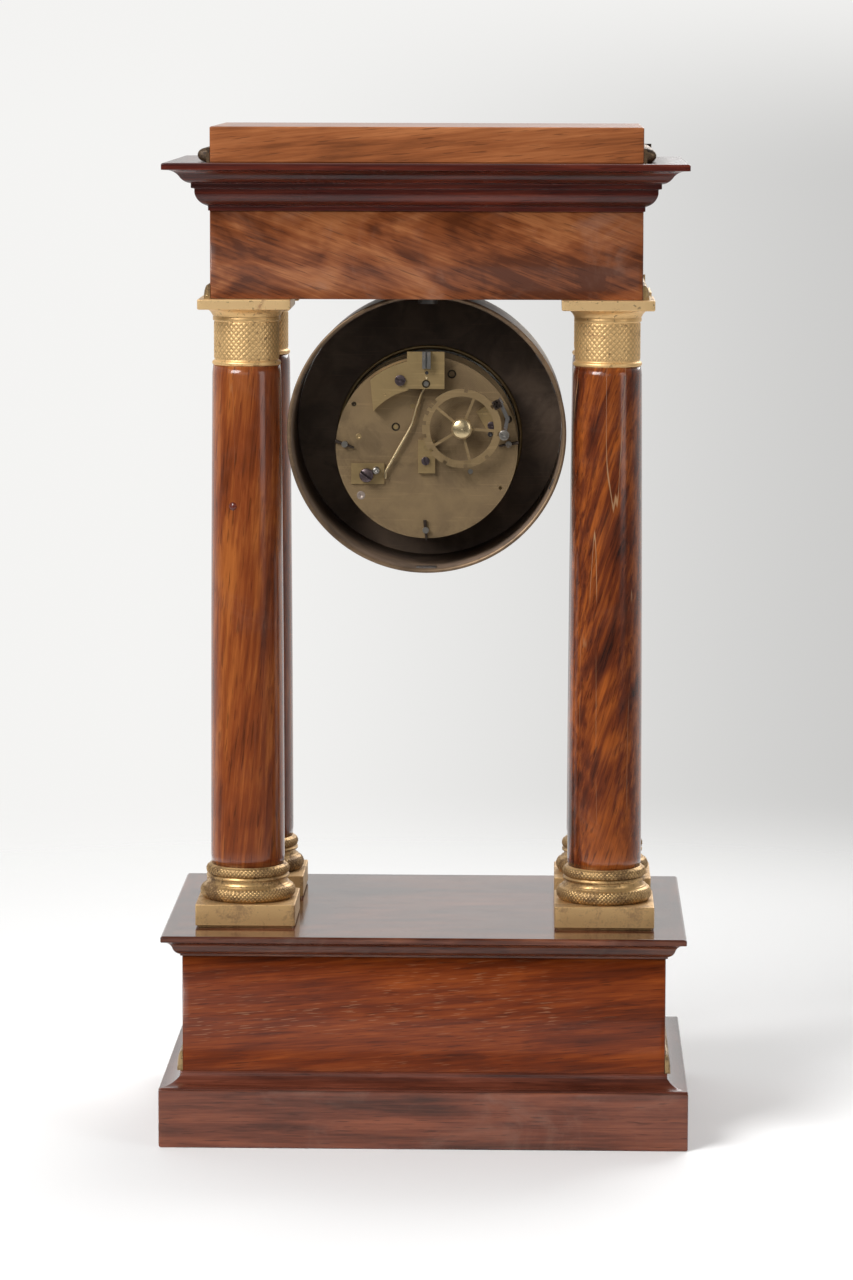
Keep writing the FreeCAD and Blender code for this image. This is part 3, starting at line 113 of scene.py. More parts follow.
class Finish:
    """A material and the nodes behind it."""

    def __init__(self, name, coordinates="Object"):
        self.material = bpy.data.materials.new(name)
        self.material.use_nodes = True
        self.tree = self.material.node_tree
        self.tree.nodes.clear()
        self.place = self.node("ShaderNodeTexCoord", {}, output=coordinates)

    def node(self, kind, settings, *values, output=0, **named):
        made = self.tree.nodes.new(kind)
        for key, value in settings.items():
            if key == "stops":
                self.set_stops(made.color_ramp, value)
            else:
                setattr(made, key, value)
        for key, value in [*enumerate(values), *named.items()]:
            socket = made.inputs[key]
            if isinstance(value, Wire):
                self.tree.links.new(value.socket, socket)
            elif value is not None:
                socket.default_value = value
        return Wire(self, made.outputs[output])

    def set_stops(self, ramp, stops):
        while len(ramp.elements) < len(stops):
            ramp.elements.new(0.5)
        for element, (position, colour) in zip(ramp.elements, stops):
            element.position = position
            element.color = (*colour, 1)

    def scaled(self, x, y, z, shift=(0, 0, 0)):
        """The coordinates stretched on each axis; a small factor draws a pattern out along it."""
        return self.node("ShaderNodeMapping", {}, self.place, Scale=(x, y, z), Location=shift)

    def noise(self, vector, scale, detail=3.0, rough=0.5, swirl=0.0):
        """Soft noise between 0 and 1; the scale is in waves to the metre."""
        return self.node("ShaderNodeTexNoise", {}, Vector=vector, Scale=scale, Detail=detail,
                         Roughness=rough, Distortion=swirl)

    def cells(self, vector, scale):
        """Distance to the nearest of scattered points, with the scale in points to the metre."""
        return self.node("ShaderNodeTexVoronoi", {}, Vector=vector, Scale=scale)

    def ramp(self, value, stops):
        return self.node("ShaderNodeValToRGB", {"stops": stops}, value)

    def blend(self, factor, first, second, how="MIX"):
        mix = self.tree.nodes.new("ShaderNodeMix")
        mix.data_type = "RGBA"
        mix.blend_type = how
        for socket, value in ((mix.inputs[0], factor), (mix.inputs[6], first), (mix.inputs[7], second)):
            if isinstance(value, Wire):
                self.tree.links.new(value.socket, socket)
            elif isinstance(value, tuple):
                socket.default_value = (*value, 1)
            else:
                socket.default_value = value
        return Wire(self, mix.outputs[2])

    def axis(self, name):
        """One coordinate on its own."""
        return self.node("ShaderNodeSeparateXYZ", {}, self.place, output=name)

    def close(self, colour, roughness, metallic=0.0, height=None, depth=0.0001, **fixed):
        """Ends the tree in one Principled shader; height feeds a Bump of the given depth in metres."""
        shader = self.tree.nodes.new("ShaderNodeBsdfPrincipled")
        values = {"Base Color": colour, "Roughness": roughness, "Metallic": metallic, **fixed}
        if height is not None:
            values["Normal"] = self.node("ShaderNodeBump", {}, Distance=depth, Height=height)
        for key, value in values.items():
            socket = shader.inputs[key]
            if isinstance(value, Wire):
                self.tree.links.new(value.socket, socket)
            elif isinstance(value, tuple) and len(value) == 3:
                socket.default_value = (*value, 1)
            else:
                socket.default_value = value
        out = self.tree.nodes.new("ShaderNodeOutputMaterial")
        self.tree.links.new(shader.outputs[0], out.inputs[0])
        return self.material


# ---- Finishes ----
def mahogany(name, coordinates, along, dark, middle, pale, shift=0.0, gloss=0.16, flame=0.4, lean=0.0,
             flow=0.35, pores_pale=0.0, cracks=0.0, bloom=0.0, knot=None, coat=0.5):
    """French polished mahogany. The grain runs along one axis of the coordinates, turned by a small
    lean. Stripes and fibres are long bands, the flame is a slow swirl of pale and dark that crosses
    them, pores are short dashes, cracks are long thin wandering lines in the polish, and a knot is a
    dark spot whose rings fade out round it."""
    wood = Finish(name, coordinates)
    place = (shift, shift * 1.7, shift * 0.6)
    turn = {"x": (0, 0, lean), "z": (0, lean, 0)}[along]

    def stretched(factor):
        scale = [factor if axis == along else 1.0 for axis in "xyz"]
        turned = wood.node("ShaderNodeMapping", {}, wood.place, Location=place, Rotation=turn)
        return wood.node("ShaderNodeMapping", {}, turned, Scale=scale)

    plain = wood.scaled(1, 1, 1, place)
    stripes = wood.noise(stretched(0.045), 380.0, 5.0, 0.66, 0.4)
    bands = wood.noise(stretched(0.12), 70.0, 3.0, 0.55, 1.0)
    swirl = wood.noise(stretched(flow), 26.0, 3.0, 0.55, 1.6)
    fibres = wood.noise(stretched(0.03), 1300.0, 3.0, 0.6)
    tone = stripes * 0.58 + bands * (0.6 - flame * 0.4) + swirl * flame - (0.09 + flame * 0.3)
    if knot:
        near = wood.node("ShaderNodeVectorMath", {"operation": "DISTANCE"}, wood.place, (*knot, 0),
                         output="Value")
        near = near + (swirl - 0.5) * 0.012
        ripple = (near * 2600.0).sine() * near.band(0.012, 0.004)
        tone = tone + ripple * 0.02 - near.band(0.0065, 0.0035) * 0.20
    base = wood.ramp(tone, [(0.34, dark), (0.49, middle), (0.64, pale)])
    colour = wood.blend((fibres - 0.35).band(0.0, 0.5) * 0.40, base, tuple(value * 0.5 for value in middle))
    dashes = wood.noise(stretched(0.07), 1100.0, 1.0, 0.4).band(0.62, 0.72)
    colour = wood.blend(dashes * 0.5, colour, tuple(value * 0.4 for value in dark))
    if pores_pale:
        zone = wood.noise(stretched(0.25), 16.0, 2.0, 0.5, 0.5).band(0.50, 0.66)
        flecks = wood.noise(stretched(0.055), 1700.0, 1.0, 0.4).band(0.63, 0.72) * zone
        colour = wood.blend(flecks * pores_pale, colour, (0.46, 0.26, 0.14))
    if bloom:
        veil = wood.noise(plain, 20.0, 5.0, 0.65, 1.0).band(0.48, 0.80)
        colour = wood.blend(veil * bloom, colour, (0.34, 0.22, 0.17))
    smear = wood.noise(plain, 60.0, 4.0, 0.6)
    height = fibres * 0.30 + smear * 0.5 - dashes * 0.5
    if cracks:
        slow = [0.045 if axis == along else 1.0 for axis in "xyz"]
        wander = wood.noise(wood.scaled(*slow, place), 62.0, 2.5, 0.5, 0.1)
        line = (wander - 0.5).size().band(0.0045, 0.0008)
        where = wood.noise(plain, 14.0, 2.0).band(0.47, 0.55)
        colour = wood.blend(line * where * cracks, colour, (0.42, 0.24, 0.12))
        height = height - line * where
    rough = gloss + smear * 0.10 + fibres * 0.05
    return wood.close(colour, rough, height=height, depth=0.00005, **{
        "Coat Weight": coat, "Coat Roughness": 0.10, "Coat IOR": 1.5, "Specular IOR Level": 0.25})


def gilt(name, bright, brown, worn, polish, grain=0.5, shine=0.80, dirt=0.6):
    """Mercury gilding: clouds of rubbed brown on gold, dirt in the grooves, a fine grain and specks."""
    gold = Finish(name)
    clouds = gold.noise(gold.place, 85.0, 5.0, 0.6, 0.8)
    fine = gold.noise(gold.place, 900.0, 3.0, 0.6)
    specks = gold.noise(gold.place, 420.0, 2.0, 0.5).band(0.64, 0.72)
    wear = (clouds * 0.7 + fine * 0.3).band(0.62 - worn * 0.25, 0.74 - worn * 0.15)
    groove = gold.node("ShaderNodeAttribute", {"attribute_name": "groove"}, output="Fac")
    colour = gold.blend(wear, bright, brown)
    colour = gold.blend(groove * 0.75, colour, tuple(value * 0.5 for value in brown))
    colour = gold.blend(specks * dirt, colour, tuple(value * 0.4 for value in brown))
    rough = polish + wear * 0.22 + fine * 0.12
    return gold.close(colour, rough, shine - wear * 0.25, clouds * 0.5 + fine * grain, 0.00012)


def old_brass(name, colour, dull, polish, centre=None, turned=0.0, stains=0.5, shine=0.9):
    """Old lacquered brass: tarnish in clouds and spots, and turning lines round a centre."""
    brass = Finish(name)
    clouds = brass.noise(brass.place, 60.0, 5.0, 0.62, 0.7)
    patches = brass.noise(brass.place, 22.0, 3.0, 0.5, 1.4)
    fine = brass.noise(brass.place, 1100.0, 2.0, 0.6)
    spots = brass.cells(brass.place, 190.0).band(0.16, 0.05) * patches.band(0.5, 0.64)
    tone = brass.blend((clouds * 0.6 + patches * 0.4).band(0.36, 0.66) * stains, colour, dull)
    tone = brass.blend(spots * 0.5, tone, tuple(value * 0.35 for value in dull))
    rubbed = []
    for turn in (0.5, 1.9):
        drawn = brass.node("ShaderNodeMapping", {}, brass.place, Rotation=(0, turn, 0), Scale=(0.04, 1, 1))
        rubbed.append(brass.noise(drawn, 900.0, 2.0, 0.5).band(0.62, 0.72))
    marks = rubbed[0] * 0.6 + rubbed[1] * 0.4
    tone = brass.blend(marks * 0.35, tone, tuple(min(value * 1.7, 0.9) for value in colour))
    grime = brass.noise(brass.place, 34.0, 6.0, 0.7, 0.9).band(0.50, 0.66)
    tone = brass.blend(grime * stains * 0.55, tone, tuple(value * 0.55 for value in dull))
    height = fine * 0.3 + clouds * 0.3 - marks * 0.4
    if centre is not None:
        x = brass.axis("X") - centre[0]
        z = brass.axis("Z") - centre[1]
        reach = (x * x + z * z) ** 0.5
        height = height + (reach * 9000.0 + fine * 2.0).sine() * turned
    rough = polish + clouds * 0.16 + fine * 0.06
    return brass.close(tone, rough, shine - spots * 0.3, height, 0.00005)


def steel(name, colour, rust, polish, amount=0.4):
    """Wiped steel with a brown bloom that gathers in patches."""
    metal = Finish(name)
    clouds = metal.noise(metal.place, 160.0, 4.0, 0.6, 0.6)
    fine = metal.noise(metal.place, 1300.0, 2.0, 0.6)
    bloom = (clouds * 0.75 + fine * 0.25).band(0.66 - amount * 0.3, 0.78 - amount * 0.2)
    return metal.close(metal.blend(bloom, colour, rust), polish + bloom * 0.3 + fine * 0.08,
                       0.95 - bloom * 0.4, fine * 0.4 + clouds * 0.3, 0.00006)


def enamel():
    """White vitreous enamel: faint warm clouds, pin holes and a rippled glaze."""
    glaze = Finish("dial_enamel")
    clouds = glaze.noise(glaze.place, 40.0, 3.0, 0.5)
    pins = glaze.noise(glaze.place, 700.0, 1.0).band(0.74, 0.78)
    colour = glaze.blend(clouds.band(0.35, 0.75) * 0.6, (0.86, 0.85, 0.80), (0.78, 0.75, 0.66))
    colour = glaze.blend(pins * 0.6, colour, (0.35, 0.30, 0.24))
    return glaze.close(colour, 0.14 + clouds * 0.08, height=clouds, depth=0.00010, **{
        "Coat Weight": 0.5, "Coat Roughness": 0.05})


def ink(name, colour):
    """Fired black: slightly uneven, a little glossy."""
    paint = Finish(name)
    grain = paint.noise(paint.place, 800.0, 3.0)
    pale = tuple(value + 0.03 for value in colour)
    return paint.close(paint.blend(grain, colour, pale), 0.25 + grain * 0.2)


def clear_glass():
    """Thin glass: nearly nothing face on, and a pale film that grows towards the edge, which is painted
    reflection over the pane's real gloss.
    """
    pane = Finish("door_glass")
    # Pale colour shown more towards the edge: painted reflection.
    edge = pane.node("ShaderNodeLayerWeight", {}, 0.25, output="Fresnel")
    dust = pane.noise(pane.place, 130.0, 4.0, 0.7).band(0.5, 0.8)
    return pane.close((0.90, 0.95, 0.94), 0.03 + dust * 0.05, Alpha=edge * 0.55 + dust * 0.015 + 0.05, **{
        "IOR": 1.5})


# ---- Surfaces ----
def facing_out(vertices, quads):
    """True when the signed volume under the faces is positive, so that they point outwards."""
    a, b, c, e = (vertices[quads[:, corner]] for corner in range(4))
    volume = np.einsum("ij,ij->i", a, np.cross(b, c)) + np.einsum("ij,ij->i", a, np.cross(c, e))
    return volume.sum() > 0


def linked(name, vertices, faces, finish):
    """A new object of one finish in the scene."""
    mesh = bpy.data.meshes.new(name)
    mesh.from_pydata(vertices, [], faces)
    mesh.materials.append(finish)
    piece = bpy.data.objects.new(name, mesh)
    bpy.context.scene.collection.objects.link(piece)
    return piece


def surface(name, points, body, finish, across=None, caps=True, ring=False):
    """A grid of points as one closed mesh. Rows run along the shape and columns go round it; the
    first and last rows are closed by flat caps, or joined to each other when ring is set."""
    rows, columns = points.shape[:2]
    index = np.arange(rows * columns).reshape(rows, columns)
    if ring:
        index = np.vstack([index, index[:1]])
    index = np.hstack([index, index[:, :1]])
    quads = np.stack([index[:-1, :-1], index[:-1, 1:], index[1:, 1:], index[1:, :-1]], -1).reshape(-1, 4)
    vertices = points.reshape(-1, 3)
    centred = vertices - vertices.mean(0)
    closing = []
    if caps and not ring:
        closing = [list(range(columns))[::-1], list(range((rows - 1) * columns, rows * columns))]
    if not facing_out(centred, quads):
        quads = quads[:, ::-1]
        closing = [loop[::-1] for loop in closing]
    piece = linked(name, vertices.tolist(), quads.tolist() + closing, finish)
    piece.data.polygons.foreach_set("use_smooth", [True] * len(quads) + [False] * len(closing))
    if across is not None:
        lay_grain(piece.data, across.reshape(-1, 2), len(quads))
    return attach(piece, body)


def lay_grain(mesh, grain, sides):
    """Grain coordinates in metres: the grid's own on the sides, and plain x and y on the caps."""
    layer = mesh.uv_layers.new(name="grain")
    corner = np.zeros(len(mesh.loops), np.int32)
    mesh.loops.foreach_get("vertex_index", corner)
    values = grain[corner]
    first_cap = sides * 4
    flat = np.zeros(len(mesh.vertices) * 3, np.float32)
    mesh.vertices.foreach_get("co", flat)
    values[first_cap:] = flat.reshape(-1, 3)[corner[first_cap:], :2] + 0.37
    layer.data.foreach_set("uv", values.astype(np.float32).ravel())


def softened(corners, radius, steps=4):
    """A polyline whose sharp corners become small arcs, each held by a point on either side so
    that flats stay flat. The arc is a quadratic curve from one tangent point to the other."""
    corners = np.array(corners, float)
    out = [corners[0]]
    for before, corner, after in zip(corners[:-2], corners[1:-1], corners[2:]):
        to_before, to_after = before - corner, after - corner
        near = min(radius, np.linalg.norm(to_before) * 0.45, np.linalg.norm(to_after) * 0.45)
        start = corner + to_before / np.linalg.norm(to_before) * near
        end = corner + to_after / np.linalg.norm(to_after) * near
        out.append(start + (start - corner) * 0.1)
        for step in np.linspace(0, 1, steps):
            out.append((1 - step) ** 2 * start + 2 * step * (1 - step) * corner + step ** 2 * end)
        out.append(end + (end - corner) * 0.1)
    out.append(corners[-1])
    return np.array(out)


def arc(start, end, radius, side, steps=12):
    """Points on the circular arc between two points, bulging to one side of the chord."""
    start, end = np.array(start, float), np.array(end, float)
    chord = end - start
    half = np.linalg.norm(chord) / 2
    normal = np.array([chord[1], -chord[0]]) / (2 * half) * side
    centre = (start + end) / 2 - normal * math.sqrt(max(radius * radius - half * half, 0))
    first = math.atan2(*(start - centre)[::-1])
    last = math.atan2(*(end - centre)[::-1])
    sweep = (last - first + math.pi) % math.tau - math.pi
    angles = first + sweep * np.linspace(0, 1, steps)
    return centre + radius * np.stack([np.cos(angles), np.sin(angles)], -1)


def plan(half_width, half_depth, radius=0.5 * mm, steps=5):
    """A rectangle with small round corners: for each column its corner centre, its outward
    direction and its place along the side it lies on."""
    outward, anchor, along = [], [], []
    for quarter, (side_x, side_y) in enumerate(((1, 1), (-1, 1), (-1, -1), (1, -1))):
        centre = np.array([side_x * (half_width - radius), side_y * (half_depth - radius)])
        angles = (quarter + np.linspace(0, 1, steps)) * math.pi / 2
        rays = np.stack([np.cos(angles), np.sin(angles)], -1)
        slide = 4 * radius
        tangents = [np.array([rays[0][1], -rays[0][0]]) * slide, *[np.zeros(2)] * steps,
                    np.array([-rays[-1][1], rays[-1][0]]) * slide]
        for ray, shift in zip([rays[0], *rays, rays[-1]], tangents):
            outward.append(ray)
            anchor.append(centre + shift)
            on_x_side = abs(ray[0]) > abs(ray[1])
            along.append((centre + shift)[1 if on_x_side else 0])
    return np.array(anchor), np.array(outward), np.array(along), radius


def moulded(name, box, profile, body, finish, soften=0.4 * mm, corner=0.5 * mm, **kind):
    """A block or frame whose section is the profile of (outward offset, height) carried round the
    rectangle box = (centre x, centre y, half width, half depth, foot z), with mitred corners: the
    corner's centre, plus its outward ray times its radius, plus a diagonal shift by the offset."""
    x, y, half_width, half_depth, foot = box
    outline = softened(profile, soften) if soften else np.array(profile, float)
    anchor, outward, along, radius = plan(half_width, half_depth, corner)
    diagonal = np.sign(anchor)
    offset = outline[:, 0][:, None, None]
    flat = anchor[None] + outward[None] * radius + diagonal[None] * offset
    flat = flat + np.array([x, y])
    height = np.repeat(outline[:, 1][:, None], len(anchor), 1) + foot
    points = np.concatenate([flat, height[..., None]], -1)
    run = np.concatenate([[0], np.cumsum(np.linalg.norm(np.diff(outline, axis=0), axis=1))])
    across = np.stack([np.repeat(along[None], len(run), 0), np.repeat(run[:, None], len(along), 1)], -1)
    return surface(name, points, body, finish, across, **kind)


def board(height, wall=9 * mm):
    """The section of a plain board that stands upright."""
    return [(-wall, height), (-wall, 0), (0, 0), (0, height)]


def turned(name, place, axis, outline, body, finish, steps=96, relief=None, ring=True):
    """A turned piece: each (radius, distance along the axis) of the outline goes round the axis;
    relief(angle, outline) gives a small height to add to the radius and how deep in a groove it is."""
    outline = np.array(outline, float)
    angle = np.linspace(0, math.tau, steps, endpoint=False)[None]
    radius = np.repeat(outline[:, 0][:, None], steps, 1)
    groove = None
    if relief is not None:
        height, groove = relief(angle, outline)
        radius = radius + height
    along = np.repeat(outline[:, 1][:, None], steps, 1)
    first, second = radius * np.cos(angle), radius * np.sin(angle)
    parts = (first, second, along) if axis == "z" else (first, along, second)
    points = np.stack(parts, -1) + np.array(place)
    piece = surface(name, points, body, finish, ring=ring, caps=not ring)
    if groove is not None:
        layer = piece.data.attributes.new("groove", "FLOAT", "POINT")
        layer.data.foreach_set("value", groove.astype(np.float32).ravel())
    return piece


def joined(name, pieces):
    """Several meshes of one finish as one object."""
    vertices, faces, smooth, count = [], [], [], 0
    for piece in pieces:
        mesh = piece.data
        vertices += [tuple(vertex.co) for vertex in mesh.vertices]
        faces += [[index + count for index in face.vertices] for face in mesh.polygons]
        smooth += [face.use_smooth for face in mesh.polygons]
        count += len(mesh.vertices)
    body = pieces[0]["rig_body"]
    whole = linked(name, vertices, faces, pieces[0].data.materials[0])
    whole.data.polygons.foreach_set("use_smooth", smooth)
    for piece in pieces:
        bpy.data.objects.remove(piece)
    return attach(whole, body)


def wedge(value):
    """A triangle wave between 0 and 1 with period 1."""
    return np.abs((value % 1.0) * 2 - 1)


# ---- Places read from the frame ----
def middle(node):
    low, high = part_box(node)
    return (low + high) / 2


def footprint(node):
    """(centre x, centre y, half width, half depth, foot z) of a node's box."""
    low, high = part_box(node)
    centre = (low + high) / 2
    return (centre.x, centre.y, (high.x - low.x) / 2, (high.y - low.y) / 2, low.z)


drum = middle("drum_shell")
drum_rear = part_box("drum_shell")[1].y
movement = middle("back_plate")
plate_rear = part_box("back_plate")[1].y
dial_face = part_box("dial")[0].y

# ---- The object's finishes ----
# Column tones: the +X pair is painted lighter where the key light falls, and the -X pair darker as painted
# shade, on top of the woods' own difference.
WARM_LIT_COLUMN_TONES = ((0.085, 0.018, 0.005), (0.210, 0.046, 0.010), (0.36, 0.105, 0.022))
DEEP_SHADED_COLUMN_TONES = ((0.026, 0.007, 0.004), (0.130, 0.026, 0.007), (0.34, 0.085, 0.014))
BEAM_TONES = ((0.080, 0.020, 0.006), (0.200, 0.056, 0.017), (0.33, 0.118, 0.042))
ATTIC_TONES = ((0.170, 0.050, 0.015), (0.330, 0.102, 0.031), (0.48, 0.170, 0.058))
FRIEZE_TONES = ((0.060, 0.010, 0.002), (0.145, 0.024, 0.003), (0.25, 0.052, 0.008))
PLINTH_TONES = ((0.050, 0.013, 0.006), (0.140, 0.036, 0.016), (0.23, 0.066, 0.030))
DARK_TONES = ((0.022, 0.003, 0.002), (0.066, 0.009, 0.005), (0.150, 0.026, 0.012))
LIP_TONES = ((0.045, 0.011, 0.006), (0.115, 0.030, 0.016), (0.20, 0.060, 0.034))
SLAB_TONES = ((0.030, 0.007, 0.003), (0.090, 0.024, 0.011), (0.200, 0.066, 0.032))
architrave_wood = mahogany("architrave_mahogany", "UV", "x", *BEAM_TONES, shift=0.3, flame=0.95, lean=-0.35,
                           flow=0.60, bloom=0.35, knot=(-0.081, 0.0625), gloss=0.24, coat=0.25)
attic_wood = mahogany("attic_mahogany", "UV", "x", *ATTIC_TONES, shift=1.1, flame=0.12, lean=0.10,
                      gloss=0.24, coat=0.25)
frieze_wood = mahogany("frieze_mahogany", "UV", "x", *FRIEZE_TONES, shift=2.3, flame=0.25, lean=0.08,
                       pores_pale=0.32, gloss=0.24, coat=0.25)
plinth_wood = mahogany("plinth_mahogany", "UV", "x", *PLINTH_TONES, shift=3.1, flame=0.2, gloss=0.26,
                       bloom=0.25)
moulding_wood = mahogany("moulding_mahogany", "UV", "x", *DARK_TONES, shift=4.7, flame=0.2, gloss=0.18,
                         coat=0.35)
lip_wood = mahogany("lip_mahogany", "UV", "x", *LIP_TONES, shift=5.3, flame=0.2, gloss=0.14)
slab_wood = mahogany("slab_mahogany", "UV", "x", *SLAB_TONES, shift=5.9, flame=0.5, gloss=0.10, bloom=0.2)


def column_finish(corner):
    """The columns on the +X side are warmer and smoother, and painted lighter where the key light falls;
    the others are deeper, partly their own wood and partly painted shade, with long cracks.
    """
    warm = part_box(f"column_shaft_{corner}")[0].x > 0
    tones, shift = (WARM_LIT_COLUMN_TONES, 6.1) if warm else (DEEP_SHADED_COLUMN_TONES, 9.4)
    return mahogany(f"column_mahogany_{corner}", "Object", "z", *tones, shift=shift + CORNERS.index(corner),
                    flame=0.35 if warm else 0.75, lean=0.10 if warm else 0.30, cracks=0.15 if warm else 0.8,
                    bloom=0.10)


inner_wood = mahogany("inner_mahogany", "Object", "x", *DARK_TONES, shift=8.0, gloss=0.5)
capital_gilt = gilt("capital_gilt", (0.80, 0.52, 0.23), (0.34, 0.19, 0.08),
                    worn=0.35, polish=0.38, shine=0.66)
base_gilt = gilt("column_base_gilt", (0.58, 0.37, 0.16), (0.18, 0.10, 0.040), worn=0.70, polish=0.32)
block_gilt = gilt("block_gilt", (0.62, 0.40, 0.18), (0.33, 0.20, 0.092),
                  worn=0.60, polish=0.38, shine=0.66, dirt=0.25)
abacus_gilt = gilt("abacus_gilt", (0.80, 0.54, 0.26), (0.36, 0.20, 0.09),
                   worn=0.30, polish=0.34, shine=0.60)
bead_gilt = gilt("attic_bead_gilt", (0.20, 0.13, 0.07), (0.05, 0.032, 0.022), worn=0.9, polish=0.30)
border_gilt = gilt("border_gilt", (0.40, 0.27, 0.13), (0.11, 0.070, 0.040), worn=0.75, polish=0.30)
bezel_gilt = gilt("bezel_gilt", (0.80, 0.59, 0.28), (0.34, 0.21, 0.08), worn=0.35, polish=0.16)
plate_brass = old_brass("plate_brass", (0.255, 0.175, 0.090), (0.17, 0.115, 0.062), polish=0.40,
                        centre=(movement.x, movement.z), turned=0.25, stains=0.75, shine=0.70)
part_brass = old_brass("part_brass", (0.37, 0.26, 0.12), (0.23, 0.16, 0.075), polish=0.32, shine=0.75)
bright_brass = old_brass("bright_brass", (0.40, 0.28, 0.13), (0.24, 0.16, 0.075),
                         polish=0.24, stains=0.5)
wheel_brass = old_brass("wheel_brass", (0.36, 0.25, 0.125), (0.22, 0.15, 0.075),
                        polish=0.32, stains=0.6, shine=0.75)
polished_brass = old_brass("polished_brass", (0.66, 0.52, 0.30), (0.36, 0.27, 0.15),
                           polish=0.18, stains=0.5)
drum_brass = old_brass("drum_brass", (0.180, 0.120, 0.080), (0.080, 0.055, 0.038),
                       polish=0.48, stains=0.8,
                       shine=0.20)
skin_brass = old_brass("skin_brass", (0.46, 0.40, 0.32), (0.26, 0.20, 0.15),
                       polish=0.26, stains=0.6, shine=0.85)
rim_brass = old_brass("rim_brass", (0.24, 0.16, 0.095), (0.12, 0.078, 0.048),
                      polish=0.36, stains=0.8, shine=0.7)
grey_steel = steel("grey_steel", (0.30, 0.28, 0.25), (0.13, 0.09, 0.06), polish=0.30)
dark_steel = steel("dark_steel", (0.22, 0.21, 0.20), (0.10, 0.065, 0.045), polish=0.32, amount=0.7)
violet_steel = steel("violet_steel", (0.115, 0.088, 0.092), (0.060, 0.034, 0.030),
                     polish=0.32, amount=0.5)
pin_steel = steel("pin_steel", (0.060, 0.045, 0.036), (0.030, 0.018, 0.012), polish=0.40, amount=0.6)
post_steel = steel("post_steel", (0.30, 0.29, 0.27), (0.12, 0.085, 0.06), polish=0.28, amount=0.3)
worn_spot = old_brass("worn_spot", (0.30, 0.24, 0.20), (0.20, 0.15, 0.12),
                      polish=0.35, stains=0.6, shine=0.6)
oil_dark = steel("oil_dark", (0.035, 0.026, 0.016), (0.018, 0.016, 0.010), polish=0.45, amount=0.6)
knot_wood = mahogany("knot_mahogany", "Object", "z", *DARK_TONES, shift=2.2)
blued_steel = steel("blued_steel", (0.030, 0.045, 0.16), (0.06, 0.03, 0.03), polish=0.16, amount=0.1)
white_enamel = enamel()
black_ink = ink("numeral_black", (0.010, 0.010, 0.012))
slot_shadow = ink("slot_shadow", (0.012, 0.008, 0.006))
door_glass = clear_glass()


# ---- Base ----
def build_base():
    """Plinth, its hollow moulding, the frieze boards and the moulded slab, each a mitred profile."""
    plan_box = footprint("plinth")
    wall, height, arris = 20 * mm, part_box("plinth")[1].z - plan_box[4], 0.5 * mm
    profile = [(-wall, height), (-wall, 0), (-0.6 * mm, 0), (0, 0.6 * mm), (0, height - arris),
               (-arris, height), (arris - wall, height)]
    plinth = moulded("plinth_frame", plan_box, profile, "case", plinth_wood, corner=0.9 * mm, ring=True)
    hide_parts("plinth")

    low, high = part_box("plinth_moulding")
    _, _, half_x, _, board_foot = footprint("base_back_panel")
    board_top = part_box("base_back_panel")[1]
    half_y, board_height = board_top.y, board_top.z - board_foot
    overhang, height, lip, fillet = high.x - half_x, high.z - low.z, 1.2 * mm, 0.9 * mm
    hollow = arc((overhang - 0.5 * mm, fillet), (lip, height * 0.7), overhang, -1, 14)
    profile = [(0, height), (0, 0), (overhang, 0), *hollow, (lip, height)]
    moulding = moulded("plinth_hollow_moulding", (0, 0, half_x, half_y, low.z), profile, "case",
                       lip_wood, soften=0.25 * mm, ring=True)
    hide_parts("plinth_moulding")

    frieze = moulded("base_frieze", (0, 0, half_x, half_y, board_foot), board(board_height), "case",
                     frieze_wood, corner=0.7 * mm, ring=True)
    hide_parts("base_back_panel", "base_front_panel", "base_side_panels")

    low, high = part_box("base_top")
    height, reach, lip = high.z - low.z, high.x - half_x, 1.0 * mm
    edge = height - 3.0 * mm
    turning = (reach * 0.45, edge * 0.52)
    cove = arc((lip, fillet), turning, reach * 0.5, 1, 9)
    swell = arc(turning, (reach - 1.1 * mm, edge - 0.3 * mm), reach * 0.5, -1, 9)
    profile = [(-8 * mm, 0), (lip, 0), *cove, *swell[1:], (reach, edge), (reach, height - 0.7 * mm),
               (reach - 0.9 * mm, height), (reach - 6 * mm, height)]
    slab = moulded("base_slab", (0, 0, half_x, half_y, low.z), profile, "case", slab_wood, soften=0.25 * mm)
    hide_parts("base_top")


# ---- Columns ----
def faded_ends(height, low, high):
    """1 inside a band of the profile and 0 outside it, with a short slope at either end."""
    slope = 0.5 * mm
    return np.clip((height - low) / slope, 0, 1) * np.clip((high - height) / slope, 0, 1)


def knurl(low, high, depth, around, pitch):
    """Raised diamonds on a band of the profile: the smaller of two triangle waves that cross,
    one leaning each way, faded out at the band's ends."""
    bore = 10 * mm

    def relief(angle, outline):
        height = outline[:, 1][:, None]
        turn = angle * around / math.tau
        rise = (height - low) / pitch
        diamond = np.minimum(wedge(turn + rise), wedge(turn - rise))
        inside = faded_ends(height, low, high)
        on_ring = outline[:, 0][:, None] > bore
        return depth * diamond * inside, np.clip(1 - diamond * 2.2, 0, 1) * inside * on_ring
    return relief



